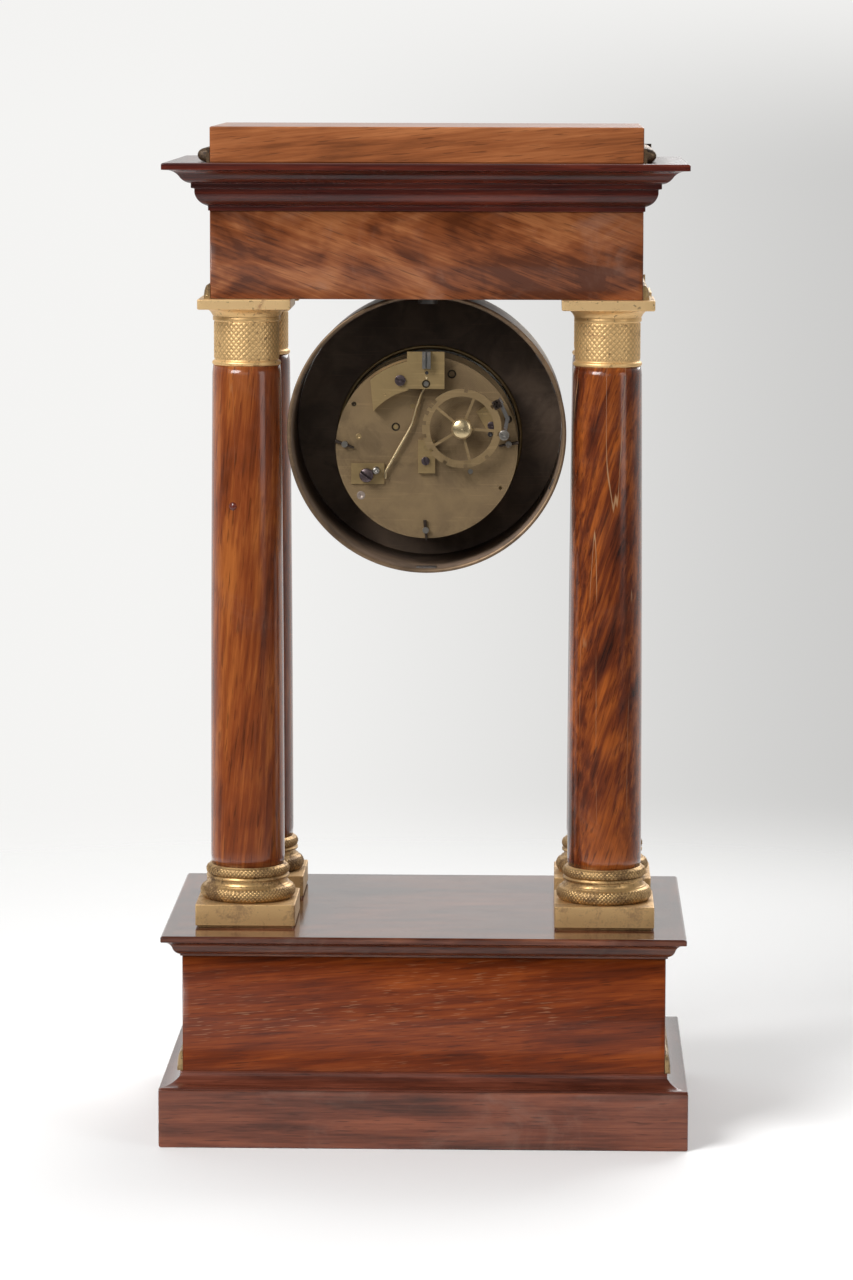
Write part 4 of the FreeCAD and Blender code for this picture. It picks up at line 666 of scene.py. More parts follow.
def build_column_base(corner):
    """Square block under a knurled torus, a polished hollow, and a smaller knurled torus."""
    node = f"column_base_{corner}"
    low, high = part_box(node)
    centre = (low + high) / 2
    block_height, half, inset, bore = 11.7 * mm, (high.x - low.x) / 2, 1.2 * mm, 4 * mm
    block = moulded(f"{node}_block", (centre.x, centre.y, half, half, low.z),
                    [(-20 * mm, 0), (-inset, 0), (-inset, 0.9 * mm), (0, 1.1 * mm),
                     (0, block_height - 0.2 * mm), (-0.4 * mm, block_height), (-20 * mm, block_height)],
                    "case", block_gilt, soften=0.35 * mm, corner=1.0 * mm)
    ring = high.z - low.z - block_height
    torus, waist = ring * 0.41, ring * 0.69
    foot_radius, top_radius, lower_fillet, upper_fillet = 21.4 * mm, 19.0 * mm, 20.9 * mm, 20.6 * mm
    lower = arc((foot_radius, 0), (foot_radius, torus), 4.2 * mm, 1, 26)
    scotia = arc((20.2 * mm, torus + 0.8 * mm), (19.6 * mm, waist - 1.3 * mm), 3.2 * mm, -1, 12)
    upper = arc((top_radius, waist), (top_radius, ring - 0.3 * mm), 3.0 * mm, 1, 22)
    outline = np.array([(bore, 0), *lower, (lower_fillet, torus + 0.1 * mm),
                        (lower_fillet, torus + 0.7 * mm), *scotia, (upper_fillet, waist - 1.2 * mm),
                        (upper_fillet, waist - 0.2 * mm), *upper, (18.9 * mm, ring), (bore, ring)])

    def relief(angle, shape):
        first = knurl(0.3 * mm, torus - 0.3 * mm, 0.55 * mm, 72, 2.0 * mm)(angle, shape)
        second = knurl(waist + 0.2 * mm, ring - 0.4 * mm, 0.5 * mm, 63, 2.0 * mm)(angle, shape)
        return first[0] + second[0], first[1] + second[1]

    rings = turned(f"{node}_rings", (centre.x, centre.y, low.z + block_height), "z", outline, "case",
                   base_gilt, 504, relief)
    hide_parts(node)


def build_shaft(corner, wood):
    """Tapering shaft with a little swell, and the thin gap shadow at each end."""
    node = f"column_shaft_{corner}"
    low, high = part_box(node)
    centre = (low + high) / 2
    foot, top, length = (high.x - low.x) / 2, 16.9 * mm, high.z - low.z
    swell, gap, bore = 0.25 * mm, 0.4 * mm, 4 * mm
    rise = np.linspace(0, 1, 60)
    radius = foot + (top - foot) * rise + swell * np.sin(rise * math.pi)
    radius[[0, -1]] -= gap
    side = np.stack([radius, rise * length], -1)
    outline = np.vstack([[(bore, 0)], side, [(bore, length)]])
    shaft = turned(f"shaft_{corner}", (centre.x, centre.y, low.z), "z", outline, "case", wood, 128)
    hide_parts(node)


def build_capital(corner):
    """Neck of small leaf diamonds between two polished rings, a flaring echinus and the abacus."""
    node = f"column_capital_{corner}"
    low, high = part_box(node)
    centre = (low + high) / 2
    turning, half, bore = 28.0 * mm, (high.x - low.x) / 2, 4 * mm
    neck_low, neck_high, leaf_pitch, leaf_height, leaves = 3.0 * mm, 21.5 * mm, 2.9 * mm, 0.34 * mm, 36
    ring = arc((16.3 * mm, 0), (16.3 * mm, 2.2 * mm), 1.25 * mm, 1, 10)
    neck = np.stack([np.full(60, 15.8 * mm), np.linspace(2.9, 21.6, 60) * mm], -1)
    flare = arc((16.7 * mm, 24.2 * mm), (20.3 * mm, turning - 0.3 * mm), 5.6 * mm, -1, 14)
    outline = np.array([(bore, 0), (15.6 * mm, 0), *ring, (15.9 * mm, 2.4 * mm), *neck,
                        (16.5 * mm, 21.9 * mm), (16.6 * mm, 22.4 * mm), (16.6 * mm, 23.6 * mm),
                        (16.3 * mm, 24.1 * mm), *flare, (20.3 * mm, turning), (bore, turning)])

    def relief(angle, shape):
        height = shape[:, 1][:, None]
        turn, rise = angle * leaves / math.tau, height / leaf_pitch
        diamond = np.sqrt(np.minimum(wedge(turn + rise), wedge(turn - rise)))
        vein = 0.30 * np.exp(-((wedge(turn * 2) - 0.5) * 6) ** 2)
        inside = faded_ends(height, neck_low, neck_high)
        return (diamond - vein * diamond) * inside * leaf_height, np.clip(1 - diamond * 1.8, 0, 1) * inside

    bell = turned(f"{node}_bell", (centre.x, centre.y, low.z), "z", outline, "case", capital_gilt, 360,
                  relief)
    height = high.z - low.z - turning
    abacus = moulded(f"{node}_abacus", (centre.x, centre.y, half, half, low.z + turning),
                     [(-14 * mm, 0), (-0.5 * mm, 0), (0, 0.4 * mm), (0, height), (-14 * mm, height)],
                     "case", abacus_gilt, corner=0.7 * mm)
    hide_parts(node)


# ---- Entablature ----
def build_entablature():
    """Architrave boards, cornice and attic, each a mitred profile."""
    low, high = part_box("architrave_back")
    half_x, half_y = high.x, high.y
    beam = moulded("architrave", (0, 0, half_x, half_y, low.z), board(high.z - low.z), "case",
                   architrave_wood, corner=0.7 * mm, ring=True)
    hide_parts("architrave_back", "architrave_front", "architrave_sides")

    low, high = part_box("cornice")
    height, reach, ledge, shelf, fillet = high.z - low.z, high.x - half_x, 12 * mm, 7 * mm, 8.6 * mm
    edge = height - 3.4 * mm
    turning, sweep = (reach * 0.62, edge - 3.6 * mm), 7.5 * mm
    hollow = arc((2.6 * mm, 3.0 * mm), (shelf, 9 * mm), 8 * mm, 1, 10)
    cove = arc((fillet, 13.5 * mm), turning, sweep, 1, 10)
    swell = arc(turning, (reach - 1.6 * mm, edge), sweep, -1, 10)
    profile = [(-ledge, height), (-ledge, 0), (0.8 * mm, 0), (0.8 * mm, 2.2 * mm), *hollow,
               (shelf, 10.8 * mm), (fillet, 11.2 * mm), *cove, *swell[1:], (reach, edge + 0.2 * mm),
               (reach, height - 0.5 * mm), (reach - 0.6 * mm, height)]
    cornice = moulded("cornice_moulding", (0, 0, half_x, half_y, low.z), profile, "case", moulding_wood,
                      soften=0.25 * mm, ring=True)
    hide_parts("cornice")

    low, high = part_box("attic_block")
    height, inner = high.z - low.z, -8 * mm
    attic = moulded("attic", (0, 0, half_x, half_y, low.z),
                    [(inner, 0), (0, 0), (0, height - 0.4 * mm), (-0.5 * mm, height), (inner, height)],
                    "case", attic_wood, corner=0.7 * mm)
    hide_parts("attic_block")


def border_path(node, thickness):
    """Points of the three sides that a border follows, with the outward direction of each side."""
    low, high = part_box(node)
    left, right, front, rear = low.x + thickness, high.x - thickness, low.y + thickness, high.y
    return [((left, rear), (left, front), (-1, 0)), ((left, front), (right, front), (0, -1)),
            ((right, front), (right, rear), (1, 0))], low.z, high.z


def build_border(node, thickness, pitch, section, finish):
    """A gilt strip on three sides. Its outward height at (distance along, height up) comes from the
    section function, which repeats along the strip; its last points reach out to meet at the corners."""
    runs, foot, top = border_path(node, thickness)
    strips = []
    for number, (start, end, out) in enumerate(runs):
        start, end, out = (np.array(value, float) for value in (start, end, out))
        length = np.linalg.norm(end - start)
        forward = (end - start) / length
        repeats = round(length / pitch)
        along = np.linspace(0, length, repeats * 10 + 1)
        up = np.linspace(0, 1, 17)
        height = section((along / length * repeats)[:, None], up[None]) * thickness
        part = (along / length)[:, None]
        corner_before, corner_after = number > 0, number < 2
        mitre = (corner_after * part ** 40 - corner_before * (1 - part) ** 40) * thickness
        flat = start + forward * (along[:, None, None] + mitre[..., None]) + out * height[..., None]
        level = np.repeat((foot + up * (top - foot))[None], len(along), 0)
        points = np.concatenate([flat, level[..., None]], -1)
        wall = (start + forward * along[:, None])[:, None].repeat(2, 1)
        edges = np.stack([np.full(len(along), top), np.full(len(along), foot)], -1)[..., None]
        back = np.concatenate([wall, edges], -1)
        strips.append(surface(f"{node}_{number}", np.concatenate([points, back], 1), "case", finish))
    strip = joined(f"{node}_strip", strips)
    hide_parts(node)


def leaf_section(along, up):
    """Upright leaves: a rounded back divided by narrow gaps, over a fillet."""
    leaf = np.sqrt(np.clip(1 - ((along % 1.0) * 2 - 1) ** 2, 0, 1))
    rise = np.clip((up - 0.2) / 0.8, 0, 1)
    body = 0.35 + 0.6 * leaf * np.sqrt(np.clip(1 - rise ** 3, 0, 1)) * (1 - 0.3 * rise)
    return np.where(up < 0.2, 0.9, body)


def bead_section(along, up):
    """A row of round balls against a thin back."""
    ball = 1 - ((along % 1.0) * 2 - 1) ** 2 - (up * 2 - 1) ** 2
    return 0.25 + 0.75 * np.sqrt(np.clip(ball, 0, 1))


# ---- Drum, door and dial ----
def build_drum():
    """Spun brass drum, and its rolled rim, which is rubbed brighter."""
    low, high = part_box("drum_shell")
    length, rim, outer, inner = high.y - low.y, 68.8 * mm, 68.0 * mm, 66.6 * mm
    half = (inner + outer) / 2
    wall = np.array([(inner, -1.0 * mm), (half, -1.0 * mm), (half, -length), (inner, -length)])
    skin = np.array([(half, -1.2 * mm), (outer - 0.2 * mm, -1.2 * mm), (outer, -2.4 * mm),
                     (outer, -length + 0.4 * mm), (outer - 0.4 * mm, -length), (half, -length)])
    bead = arc((inner + 0.7 * mm, -0.5 * mm), (rim, -0.8 * mm), 1.0 * mm, -1, 12)
    lip = np.array([(inner + 0.2 * mm, -1.0 * mm), (inner + 0.4 * mm, -0.7 * mm), *bead,
                    (rim, -1.9 * mm), (outer + 0.1 * mm, -2.3 * mm), (inner + 0.2 * mm, -2.3 * mm)])
    for name, outline, finish in (("drum_barrel", wall, drum_brass), ("drum_skin", skin, skin_brass),
                                  ("drum_rim", lip, rim_brass)):
        piece = turned(name, (drum.x, high.y, drum.z), "y", outline, "case", finish, 224)
        if name == "drum_barrel":
            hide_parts("drum_shell")


def polar(name, radius, angle, size, depth, y, finish):
    """A small softened box laid on the inside of the drum, at an angle from its centre."""
    half_width, half_length = size[0] / 2, size[1] / 2
    inset = min(half_width, half_length) * 0.6
    block = moulded(name, (0, 0, half_width, half_length, 0),
                    [(-inset, 0), (0, 0), (0, depth), (-inset, depth)], "case", finish,
                    soften=0.2 * mm, corner=0.3 * mm)
    turn = Matrix.Rotation(math.radians(angle) - math.pi / 2, 4, "Y").inverted()
    place = Matrix.Translation((drum.x, y, drum.z)) @ turn @ Matrix.Translation((0, 0, radius - depth))
    block.data.transform(place)
    block.data.update()


def build_drum_fixings():
    """Latch slots, drawn as near-black blocks that are painted shadow in place of the openings, and
    the tab that once held the rear cover.
    """
    inside = 66.7 * mm
    for number, angle in enumerate((23.9, 146.5, 159.8, 201.9)):
        # Painted shadow: near-black blocks where the latch slots open.
        polar(f"cover_latch_{number}", inside, angle, (5.5 * mm, 3.2 * mm), 0.7 * mm,
              drum_rear - 3.4 * mm, slot_shadow)
    polar("cover_tab", inside, 270, (10 * mm, 5 * mm), 0.9 * mm, drum_rear - 4.2 * mm, dark_steel)


def build_bezel():
    """Bezel: polished bead, a ring of pearls, a hollow and the sight ring; and the domed pane."""
    back = dial_face + 2.0 * mm
    centre = middle("bezel_glass")
    pearls, pearl_radius, pearl_height, pearl_ring, pearl_level = 96, 1.6 * mm, 1.5 * mm, 56.3 * mm, 8.0

    def at(radius, distance):
        return (radius * mm, -distance * mm)

    outline = np.array([at(52.1, 0), at(61.4, 0), *arc(at(61.5, 0.3), at(61.5, 4.5), 2.6 * mm, 1, 8),
                        *arc(at(61.1, 5.0), at(58.6, 8.4), 4.6 * mm, 1, 9), at(58.2, 8.2)]
                       + [at(radius, pearl_level) for radius in np.linspace(57.9, 54.7, 12)]
                       + [at(54.4, 8.6), *arc(at(54.2, 9.8), at(52.4, 9.8), 1.1 * mm, 1, 8),
                          *arc(at(52.0, 9.0), at(50.6, 7.5), 3.2 * mm, -1, 7), at(50.5, 7.0), at(52.1, 7.0)])
    angle = np.linspace(0, math.tau, pearls * 8, endpoint=False)[None]
    radius = np.repeat(outline[:, 0][:, None], angle.shape[1], 1)
    across = (radius - pearl_ring) / pearl_radius
    around = ((angle * pearls / math.tau) % 1.0) * 2 - 1
    ball = np.sqrt(np.clip(1 - across ** 2 - around ** 2, 0, 1))
    on_band = (np.abs(outline[:, 1] + pearl_level * mm) < 0.01 * mm)[:, None]
    lift = ball * pearl_height * on_band
    points = np.stack([radius * np.cos(angle), outline[:, 1][:, None] - lift, radius * np.sin(angle)], -1)
    ring = surface("bezel_ring", points + np.array([centre.x, back, centre.z]), "door", bezel_gilt, ring=True)

    pane_outer, flat, rise, front, rear = 52.0 * mm, 50.0 * mm, 4.0 * mm, 7.0 * mm, 5.4 * mm
    dome = (flat * flat + rise * rise) / (2 * rise)
    spread, pole = np.linspace(0, 1, 24)[1:], 0.05 * mm

    def cap_at(radius, level):
        """A sphere's cap over the level, as a distance in front of the bezel's back."""
        return -(level + np.sqrt(dome * dome - radius ** 2) - (dome - rise))

    front_side = np.stack([flat * spread, cap_at(flat * spread, front)], -1)
    rear_side = np.stack([flat * spread, cap_at(flat * spread, rear)], -1)[::-1]
    pane = np.vstack([[(pole, -(front + rise))], front_side, [(pane_outer, -front)],
                      [(pane_outer, -rear)], rear_side, [(pole, -(rear + rise))]])
    glass = turned("dial_pane", (centre.x, back, centre.z), "y", pane, "door", door_glass, 144)
    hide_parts("bezel_glass")


def quad_sheet(name, quads, y, body, finish):
    """Flat four-cornered pieces at one depth, facing the front, as one mesh."""
    corners = np.array(quads).reshape(-1, 2)
    vertices = np.stack([corners[:, 0], np.full(len(corners), y), corners[:, 1]], -1)
    faces = np.arange(len(corners)).reshape(-1, 4)
    a, b, c = (vertices[faces[:, k]] for k in range(3))
    facing = np.cross(b - a, c - a)[:, 1] > 0
    faces[facing] = faces[facing][:, ::-1]
    piece = linked(name, vertices.tolist(), faces.tolist(), finish)
    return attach(piece, body)


def stroke(start, end, width):
    """A bar of the given width from one point to another."""
    start, end = np.array(start, float), np.array(end, float)
    side = np.array([-(end - start)[1], (end - start)[0]])
    side = side / np.linalg.norm(side) * width / 2
    return [start - side, end - side, end + side, start + side]


def numeral(letters, height):
    """Roman letters as thick and thin bars between two serif lines, centred on zero."""
    widths = {"I": 0.30, "V": 0.72, "X": 0.74}
    thick, thin, half = height * 0.17, height * 0.05, height / 2
    bars, at = [], 0.0
    for letter in letters:
        wide = widths[letter] * height
        mid, reach = at + wide / 2, wide / 2 - height * 0.09
        stems = {"I": [(0, 0, thick)], "V": [(-reach, 0, thick), (reach, 0, thin)],
                 "X": [(-reach, reach, thick), (reach, -reach, thin)]}[letter]
        serifs = {"I": [(0, -1), (0, 1)], "V": [(-reach, 1), (reach, 1)],
                  "X": [(-reach, -1), (-reach, 1), (reach, -1), (reach, 1)]}[letter]
        bars += [stroke((mid + top, half), (mid + foot, -half), width) for top, foot, width in stems]
        bars += [stroke((mid + x - thick, end * half), (mid + x + thick, end * half), thin)
                 for x, end in serifs]
        at += wide
    return [[(x - at / 2, z) for x, z in bar] for bar in bars]


def build_dial_marks():
    """Roman hours, a minute ring with longer marks at the fives, and the ring lines."""
    letters = ("XII", "I", "II", "III", "IIII", "V", "VI", "VII", "VIII", "IX", "X", "XI")
    quads = []
    for hour, word in enumerate(letters):
        turn = hour * math.tau / 12
        for bar in numeral(word, 9.0 * mm):
            placed = []
            for x, z in bar:
                out = 37.5 * mm + z
                placed.append((movement.x + out * math.sin(turn) + x * math.cos(turn),
                               movement.z + out * math.cos(turn) - x * math.sin(turn)))
            quads.append(placed)
    for minute in range(60):
        turn = minute * math.tau / 60
        ray = np.array([math.sin(turn), math.cos(turn)])
        place = np.array([movement.x, movement.z])
        wide = 0.9 * mm if minute % 5 == 0 else 0.3 * mm
        quads.append(stroke(place + ray * 44.0 * mm, place + ray * 46.4 * mm, wide))
    for radius in (43.9 * mm, 46.5 * mm):
        angle = np.linspace(0, math.tau, 145)
        ring = np.stack([np.sin(angle), np.cos(angle)], -1)
        for first, last in zip(ring[:-1], ring[1:]):
            quads.append([place + first * radius, place + last * radius,
                          place + last * (radius + 0.22 * mm), place + first * (radius + 0.22 * mm)])
    quad_sheet("dial_marks", quads, dial_face - 0.04 * mm, "case", black_ink)


# ---- Movement ----
def tube(name, points, radius, body, finish, sides=14):
    """A round wire along a smooth line through the points: between two of them the line is the cubic
    that leaves each along the chord of its neighbours, and each ring stands square to the line."""
    points = np.array(points, float)
    step = np.linspace(0, len(points) - 1, (len(points) - 1) * 10 + 1)
    padded = np.vstack([2 * points[0] - points[1], points, 2 * points[-1] - points[-2]])
    base = np.clip(step.astype(int), 0, len(points) - 2)
    t = (step - base)[:, None]
    p0, p1, p2, p3 = (padded[base + k] for k in range(4))
    line = 0.5 * (2 * p1 + (p2 - p0) * t + (2 * p0 - 5 * p1 + 4 * p2 - p3) * t ** 2
                  + (3 * p1 - p0 - 3 * p2 + p3) * t ** 3)
    along = np.gradient(line, axis=0)
    along /= np.linalg.norm(along, axis=1)[:, None]
    across = np.cross(along, (0, 1, 0))
    across /= np.linalg.norm(across, axis=1)[:, None]
    third = np.cross(along, across)
    angle = np.linspace(0, math.tau, sides, endpoint=False)[None, :, None]
    ring = line[:, None] + radius * (np.cos(angle) * across[:, None] + np.sin(angle) * third[:, None])
    return surface(name, ring, body, finish)


def screw(name, place, radius, height, slot_turn, finish, body="case"):
    """A domed head with a cut slot: a turned outline, with its crown pressed in along the slot."""
    steps, half_slot, slot_floor = 96, 0.42 * mm, height * 0.45
    rounds = np.linspace(0.02, 1, 14)
    crown = height * (0.78 + 0.22 * np.sqrt(1 - (rounds * 0.92) ** 2))
    outline = np.vstack([[(radius * 0.02, 0)], [(radius, 0)], [(radius, height * 0.7)],
                         np.stack([radius * rounds, crown], -1)[::-1]])
    angle = np.linspace(0, math.tau, steps, endpoint=False)[None]
    reach = np.repeat(outline[:, 0][:, None], steps, 1)
    level = np.repeat(outline[:, 1][:, None], steps, 1)
    x, z = reach * np.cos(angle), reach * np.sin(angle)
    lean = math.radians(slot_turn)
    from_slot = np.abs(z * math.cos(lean) - x * math.sin(lean))
    cut = (from_slot < half_slot) & (level > height * 0.6)
    points = np.stack([x, np.where(cut, slot_floor, level), z], -1) + np.array(place)
    piece = surface(name, points, body, finish, ring=True)
    return piece


def build_movement():
    """Finishes on the plates and wheels, and finer shapes for the crutch wire and its boss."""
    finishes = (
        (plate_brass, "back_plate front_plate"),
        (part_brass, "pallet_bridge plate_cocks going_barrel strike_barrel centre_wheel third_wheel "
                     "minute_wheel hour_wheel second_wheel pin_wheel"),
        (bright_brass, "escape_wheel"), (wheel_brass, "countwheel"), (post_steel, "suspension_post"),
        (grey_steel, "pillars anchor going_winding_arbor strike_winding_arbor"),
        (dark_steel, "detent_lever column_tie_rods drum_bolts"), (pin_steel, "pillar_pins"),
        (blued_steel, "hour_hand minute_hand"), (drum_brass, "drum_front_plate"),
        (inner_wood, "soffit_board"), (white_enamel, "dial"), (bezel_gilt, "bezel"),
    )
    for finish, nodes in finishes:
        for node in nodes.split():
            mesh = frame["nodes"][node].data
            mesh.materials.clear()
            mesh.materials.append(finish)

    pallets = (movement.x + 0.2 * mm, movement.z + 32.0 * mm)
    level, wire_radius = plate_rear + 2.2 * mm, 0.7 * mm
    bends = [(0, 0), (0.9, -1.9), (2.2, -4.7), (3.7, -9.0), (5.1, -13.5), (6.1, -17.3), (7.6, -21.6),
             (13.5, -32.2), (19.3, -42.6), (20.0, -44.8), (20.0, -47.2)]
    wire = tube("crutch_wire", [(pallets[0] + x * mm, level, pallets[1] + z * mm) for x, z in bends],
                wire_radius, "pallet_arbor", polished_brass)
    boss_outline = np.array([(1.2, 0), (2.3, 0), (2.6, 0.3), (2.6, 1.9), (2.3, 2.2), (1.2, 2.2)]) * mm
    boss = turned("crutch_boss", (pallets[0], level - 1.1 * mm, pallets[1]), "y", boss_outline,
                  "pallet_arbor", bright_brass, 48)
    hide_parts("crutch")


def on_back(x, z, lift):
    """A point above the back plate, from its centre, in millimetres."""
    return (movement.x + x * mm, plate_rear + lift * mm, movement.z + z * mm)


def flat_disc(name, place, radius, height, finish, bore=0.0):
    """A low disc or ring with a rounded edge, laid on the back plate; its sizes are in millimetres."""
    crown = arc((radius * mm, (height - 0.12) * mm), ((radius - 0.14) * mm, height * mm), 0.16 * mm, 1, 5)
    inner = max(bore, 0.02) * mm
    outline = np.array([(inner, 0), (radius * mm, 0), *crown, (inner, height * mm)])
    turned(name, place, "y", outline, "case", finish, 40)


def build_screws():
    """The slotted heads on the back plate and the stud of the suspension's adjusting screw. Each row
    gives x, z, lift, radius and height in millimetres, and the slot's turn in degrees."""
    heads = [(12.9, 33.7, 7.5, 2.65, 1.6, 25), (0.5, -6.4, 2.5, 2.05, 1.4, 70),
             (-31.9, 11.2, 2.0, 1.95, 1.2, 10), (29.6, -13.5, 1.2, 3.4, 5.0, 35)]
    for number, (x, z, lift, radius, height, slot_turn) in enumerate(heads):
        head = screw(f"back_screw_{number}", on_back(x, z, lift), radius * mm, height * mm, slot_turn,
                     violet_steel)
        if number == 0:
            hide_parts("plate_screws")
    stud = [(0.02, 0), (1.8, 0), (1.8, 1.2), (1.1, 1.5), (1.1, 2.3), (1.9, 2.7), (1.9, 3.6), (1.3, 4.3),
            (0.02, 4.5)]
    stud = turned("suspension_stud", on_back(24.9, -11.1, 1.2), "y", np.array(stud) * mm, "case",
                  grey_steel, 40)


def build_plate_marks():
    """Rivets, bushes and filled holes on the back plate and its bridge, near-black discs that are
    painted shadow standing in for open holes, and the oiled rings round their pivots. Each row gives
    x, z, lift, radius and height in millimetres, then the finish of a disc or the bore of a ring."""
    # Discs in slot_shadow are painted shadow, near-black where open holes show their shade.
    discs = [(33.6, 5.3, 0.0, 1.5, 0.12, part_brass), (32.4, -23.8, 0.0, 2.1, 0.05, worn_spot),
             (-31.3, 6.6, 0.0, 1.3, 0.10, slot_shadow), (20.5, 26.5, 7.5, 0.8, 0.18, bright_brass),
             (17.8, 27.4, 7.5, 0.6, 0.15, bright_brass), (0.0, 34.9, 7.5, 0.65, 0.15, polished_brass),
             (-0.1, 37.4, 7.5, 0.9, 0.06, slot_shadow)]
    for number, (x, z, lift, radius, height, finish) in enumerate(discs):
        flat_disc(f"plate_mark_{number}", on_back(x, z, lift), radius, height, finish)
    rings = [(0.2, 32.0, 7.5, 2.0, 0.25, 1.3), (15.3, 10.2, 0.0, 2.1, 0.12, 1.3),
             (-40.2, 14.1, 0.0, 1.9, 0.12, 1.0), (35.9, 21.4, 0.0, 1.2, 0.05, 0.0),
             (-12.3, 36.3, 0.0, 2.2, 0.05, 1.4)]
    for number, (x, z, lift, radius, height, bore) in enumerate(rings):
        flat_disc(f"pivot_ring_{number}", on_back(x, z, lift), radius, height, oil_dark, bore)


def build_detent_ends():
    """The bright slotted end of the detent's arbor, and the dark block that carries its finger."""
    lift = (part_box("detent_lever")[1].y - plate_rear) / mm
    screw("detent_collar", on_back(-38.2, 6.9, lift - 0.6), 2.5 * mm, 1.5 * mm, 20, grey_steel, "detent")
    half_width, half_depth, height, inset = 2.0 * mm, 2.2 * mm, 1.3 * mm, 1.4 * mm
    block = moulded("detent_block", (0, 0, half_width, half_depth, 0),
                    [(-inset, 0), (0, 0), (0, height), (-inset, height)], "detent", pin_steel,
                    soften=0.3 * mm, corner=0.5 * mm)
    laid_flat = Matrix.Rotation(math.radians(-90), 4, "X")
    lean = Matrix.Rotation(math.radians(25), 4, "Y")
    block.data.transform(Matrix.Translation(on_back(-34.6, 22.0, lift - 0.7)) @ lean @ laid_flat)
    block.data.update()


def soften_edges():
    """A fine rounded arris on the movement's kept plates and wheels."""
    for node in ("back_plate", "pallet_bridge", "suspension_post", "plate_cocks", "countwheel",
                 "detent_lever", "pillars", "pillar_pins"):
        bevel = frame["nodes"][node].modifiers.new("arris", "BEVEL")
        bevel.width, bevel.segments = 0.16 * mm, 2
        bevel.limit_method, bevel.angle_limit = "ANGLE", math.radians(40)
        bevel.harden_normals = False


def build_count_cap():
    """Domed cap on the countwheel's arbor, over the plain one."""
    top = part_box("countwheel")[1].y
    radius, rise, drop = 5.2 * mm, 2.4 * mm, 1.3 * mm
    angle = np.linspace(0, math.pi / 2, 16)[:-1]
    dome = np.stack([radius * np.cos(angle), rise * np.sin(angle) - drop], -1)
    skirt, pole = -drop - 0.8 * mm, 0.03 * mm
    outline = np.vstack([[(2.4 * mm, skirt)], [(radius, skirt)], dome,
                         [(pole, rise - drop)], [(pole, rise - drop - 0.6 * mm)]])
    cap = turned("countwheel_dome", (movement.x - 17.4 * mm, top, movement.z + 10.1 * mm), "y", outline,
                 "strike_second_arbor", polished_brass, 64)


def build_seat_ring():
    """The turned edge of the dial's seat, deep in the drum, which shows past the back plate."""
    outline = np.array([(44.9, 0.0), (46.9, 0.0), (46.9, 2.2), (46.5, 2.7), (45.4, 2.7), (44.9, 2.2)]) * mm
    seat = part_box("drum_front_plate")[1].y
    ring = turned("dial_seat", (movement.x, seat, movement.z), "y", outline, "case", part_brass, 160)


def build_knot():
    """A small healed knot that stands proud of the rear shaft on the +X side: a low paraboloid on a
    short stem sunk in the wood."""
    low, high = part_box("column_shaft_rear_right")
    centre = (low + high) / 2
    shaft_radius, level, knot_radius, rise, stem = 17.55 * mm, 314.3 * mm, 2.0 * mm, 0.9 * mm, -1.2 * mm
    turn = math.radians(70)
    outward = Vector((math.cos(turn), math.sin(turn), 0))
    up = np.linspace(0.02, 1, 8)
    outline = np.stack([knot_radius * up, rise * (1 - up ** 2)], -1)
    outline = np.vstack([outline, [(knot_radius, stem), (0.04 * mm, stem)]])
    bump = turned("shaft_knot", (0, 0, 0), "z", outline, "case", knot_wood, 24)
    spin = outward.to_track_quat("Z", "X").to_matrix().to_4x4()
    seat = Vector((centre.x, centre.y, level)) + outward * shaft_radius
    bump.data.transform(Matrix.Translation(seat) @ spin)
    bump.data.update()


# ---- Floor, light and camera ----
def build_floor():
    """A wide pale disc under the object, which fades out into the backdrop."""
    clear_from, solid_within = 1.05, 0.35
    paper = Finish("floor_paper")
    grain = paper.noise(paper.place, 3.0, 2.0)
    colour = paper.blend(grain, (0.93, 0.93, 0.93), (0.95, 0.95, 0.95))
    x, y = paper.axis("X"), paper.axis("Y")
    reach = (x * x + y * y) ** 0.5
    finish = paper.close(colour, 0.7, Alpha=reach.band(clear_from, solid_within))
    sides, rings = 96, np.array([0.01, 0.5, 2.0, 8.0, 30.0])[:, None]
    angle = np.linspace(0, math.tau, sides, endpoint=False)
    points = np.stack([rings * np.cos(angle), rings * np.sin(angle), np.zeros((len(rings), sides))], -1)
    index = np.arange(len(rings) * sides).reshape(len(rings), sides)
    index = np.hstack([index, index[:, :1]])
    faces = np.stack([index[:-1, :-1], index[1:, :-1], index[1:, 1:], index[:-1, 1:]], -1).reshape(-1, 4)
    linked("floor", points.reshape(-1, 3).tolist(), [*faces.tolist(), list(range(sides))], finish)


def soft_box(name, place, target, width, height, power):
    """An area light that faces a point; its power is in watts."""
    light = bpy.data.lights.new(name, "AREA")
    light.shape = "RECTANGLE"
    light.size, light.size_y, light.energy = width, height, power
    lamp = bpy.data.objects.new(name, light)
    bpy.context.scene.collection.objects.link(lamp)
    lamp.location = place
    lamp.rotation_euler = (Vector(target) - Vector(place)).to_track_quat("-Z", "Y").to_euler()


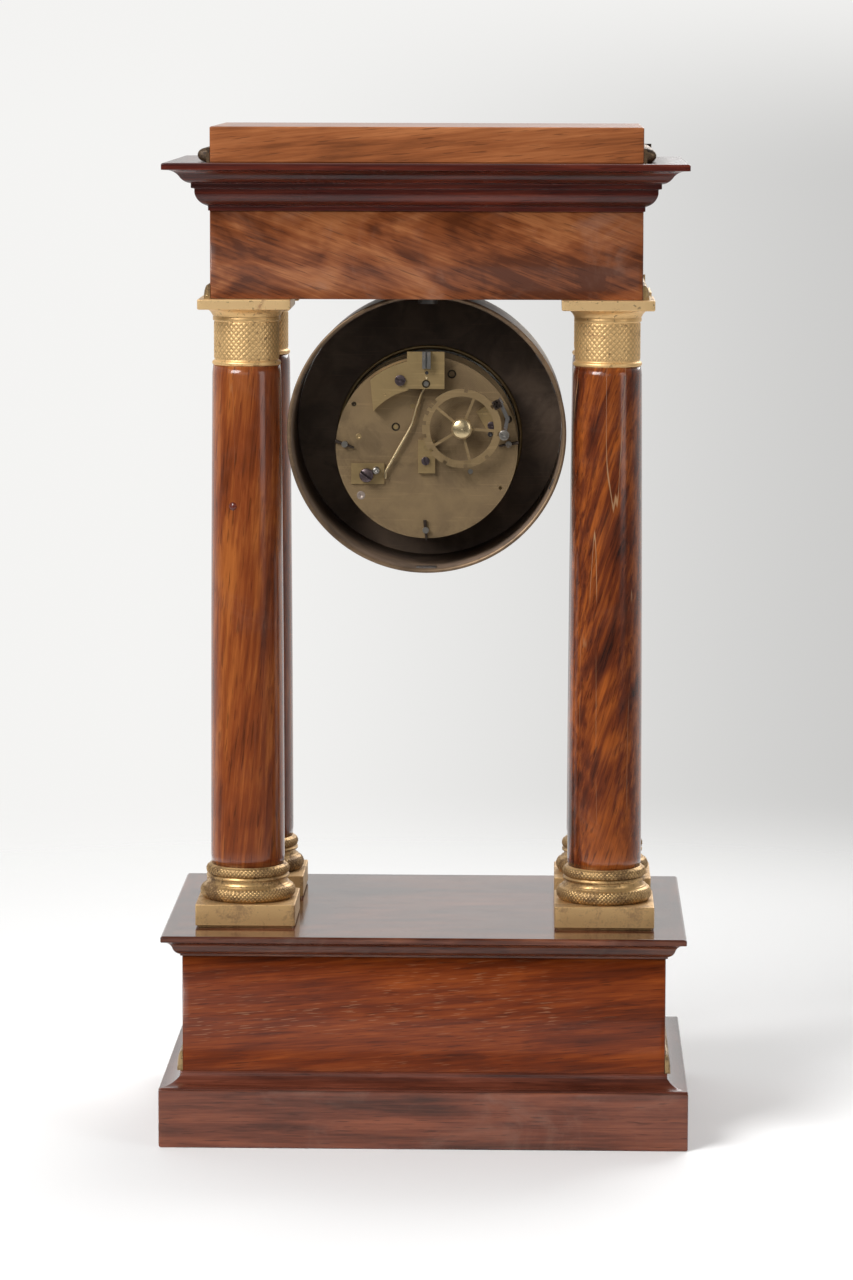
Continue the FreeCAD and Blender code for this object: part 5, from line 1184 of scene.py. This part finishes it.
def build_light():
    """A pale room that is brighter behind the object than behind the viewer, and four soft boxes.
    Straight to the camera, the backdrop carries a painted shadow: darker towards -X in a band at
    about the object's height.
    """
    world = bpy.data.worlds.new("studio")
    bpy.context.scene.world = world
    world.use_nodes = True
    tree = world.node_tree
    tree.nodes.clear()
    coordinates = tree.nodes.new("ShaderNodeTexCoord")
    parts = tree.nodes.new("ShaderNodeSeparateXYZ")
    tree.links.new(coordinates.outputs["Generated"], parts.inputs[0])

    def faded(socket, start, end, first, last):
        fade = tree.nodes.new("ShaderNodeMapRange")
        fade.interpolation_type = "SMOOTHSTEP"
        for key, value in ((1, start), (2, end), (3, first), (4, last)):
            fade.inputs[key].default_value = value
        tree.links.new(parts.outputs[socket], fade.inputs[0])
        return fade.outputs[0]

    def mixed(factor, first, second):
        mix = tree.nodes.new("ShaderNodeMix")
        for key, value in ((0, factor), (2, first), (3, second)):
            if isinstance(value, float):
                mix.inputs[key].default_value = value
            else:
                tree.links.new(value, mix.inputs[key])
        return mix.outputs[0]

    path = tree.nodes.new("ShaderNodeLightPath")
    # The backdrop seen straight by the camera: a painted shadow, darker towards -X between two heights.
    backdrop = mixed(faded("Z", -0.03, 0.02, 0.0, 1.0), faded("X", -0.10, 0.09, 0.58, 0.91), 0.90)
    backdrop = mixed(faded("Z", -0.24, -0.15, 1.0, 0.0), backdrop, 0.95)
    seen = mixed(path.outputs["Is Camera Ray"], faded("Y", -0.8, 0.35, 0.78, 0.10), backdrop)
    glow = tree.nodes.new("ShaderNodeBackground")
    glow.inputs["Color"].default_value = (1.0, 0.995, 0.98, 1)
    tree.links.new(seen, glow.inputs["Strength"])
    out = tree.nodes.new("ShaderNodeOutputWorld")
    tree.links.new(glow.outputs[0], out.inputs[0])
    aim = (0, 0, 0.28)
    soft_box("key", (1.2, 1.4, 1.6), aim, width=1.0, height=1.0, power=52)
    soft_box("fill", (-1.7, 1.2, 0.9), aim, width=0.7, height=1.6, power=8)
    soft_box("rear", (0.6, 3.4, 1.5), aim, width=2.4, height=1.6, power=9)
    soft_box("front", (-0.8, -1.9, 1.6), aim, width=1.4, height=1.2, power=26)


def build_tone():
    """Plain display colours, without a film curve."""
    bpy.context.scene.view_settings.view_transform = "Standard"


def build_camera():
    """A long lens a little above the object and behind it, looking slightly down."""
    pitch, yaw, roll = math.radians(7.249), math.radians(1.4288), 0.0022
    place, lens, sensor = (-0.0578, 2.3554, 0.5410), 132.350625, 36.0
    forward = Vector((math.sin(yaw) * math.cos(pitch), -math.cos(yaw) * math.cos(pitch), -math.sin(pitch)))
    level = forward.cross(Vector((0, 0, 1))).normalized()
    upright = level.cross(forward)
    right = level * math.cos(roll) + upright * math.sin(roll)
    up = right.cross(forward)
    data = bpy.data.cameras.new("camera")
    data.sensor_fit, data.sensor_height, data.lens, data.clip_end = "VERTICAL", sensor, lens, 100
    camera = bpy.data.objects.new("camera", data)
    bpy.context.scene.collection.objects.link(camera)
    turn = Matrix((right, up, -forward)).transposed().to_4x4()
    camera.matrix_world = Matrix.Translation(place) @ turn
    bpy.context.scene.camera = camera


build_base()
for name in CORNERS:
    build_column_base(name)
    build_shaft(name, column_finish(name))
    build_capital(name)
build_entablature()
build_border("attic_border", thickness=6.0 * mm, pitch=6.0 * mm,
             section=bead_section, finish=bead_gilt)
build_border("architrave_border", thickness=3.4 * mm, pitch=5.0 * mm,
             section=leaf_section, finish=border_gilt)
build_border("base_border", thickness=3.0 * mm, pitch=6.5 * mm,
             section=leaf_section, finish=border_gilt)
build_drum()
build_drum_fixings()
build_bezel()
build_dial_marks()
build_movement()
build_screws()
build_plate_marks()
build_count_cap()
build_detent_ends()
soften_edges()
build_seat_ring()
build_knot()
build_floor()
build_light()
build_tone()
build_camera()
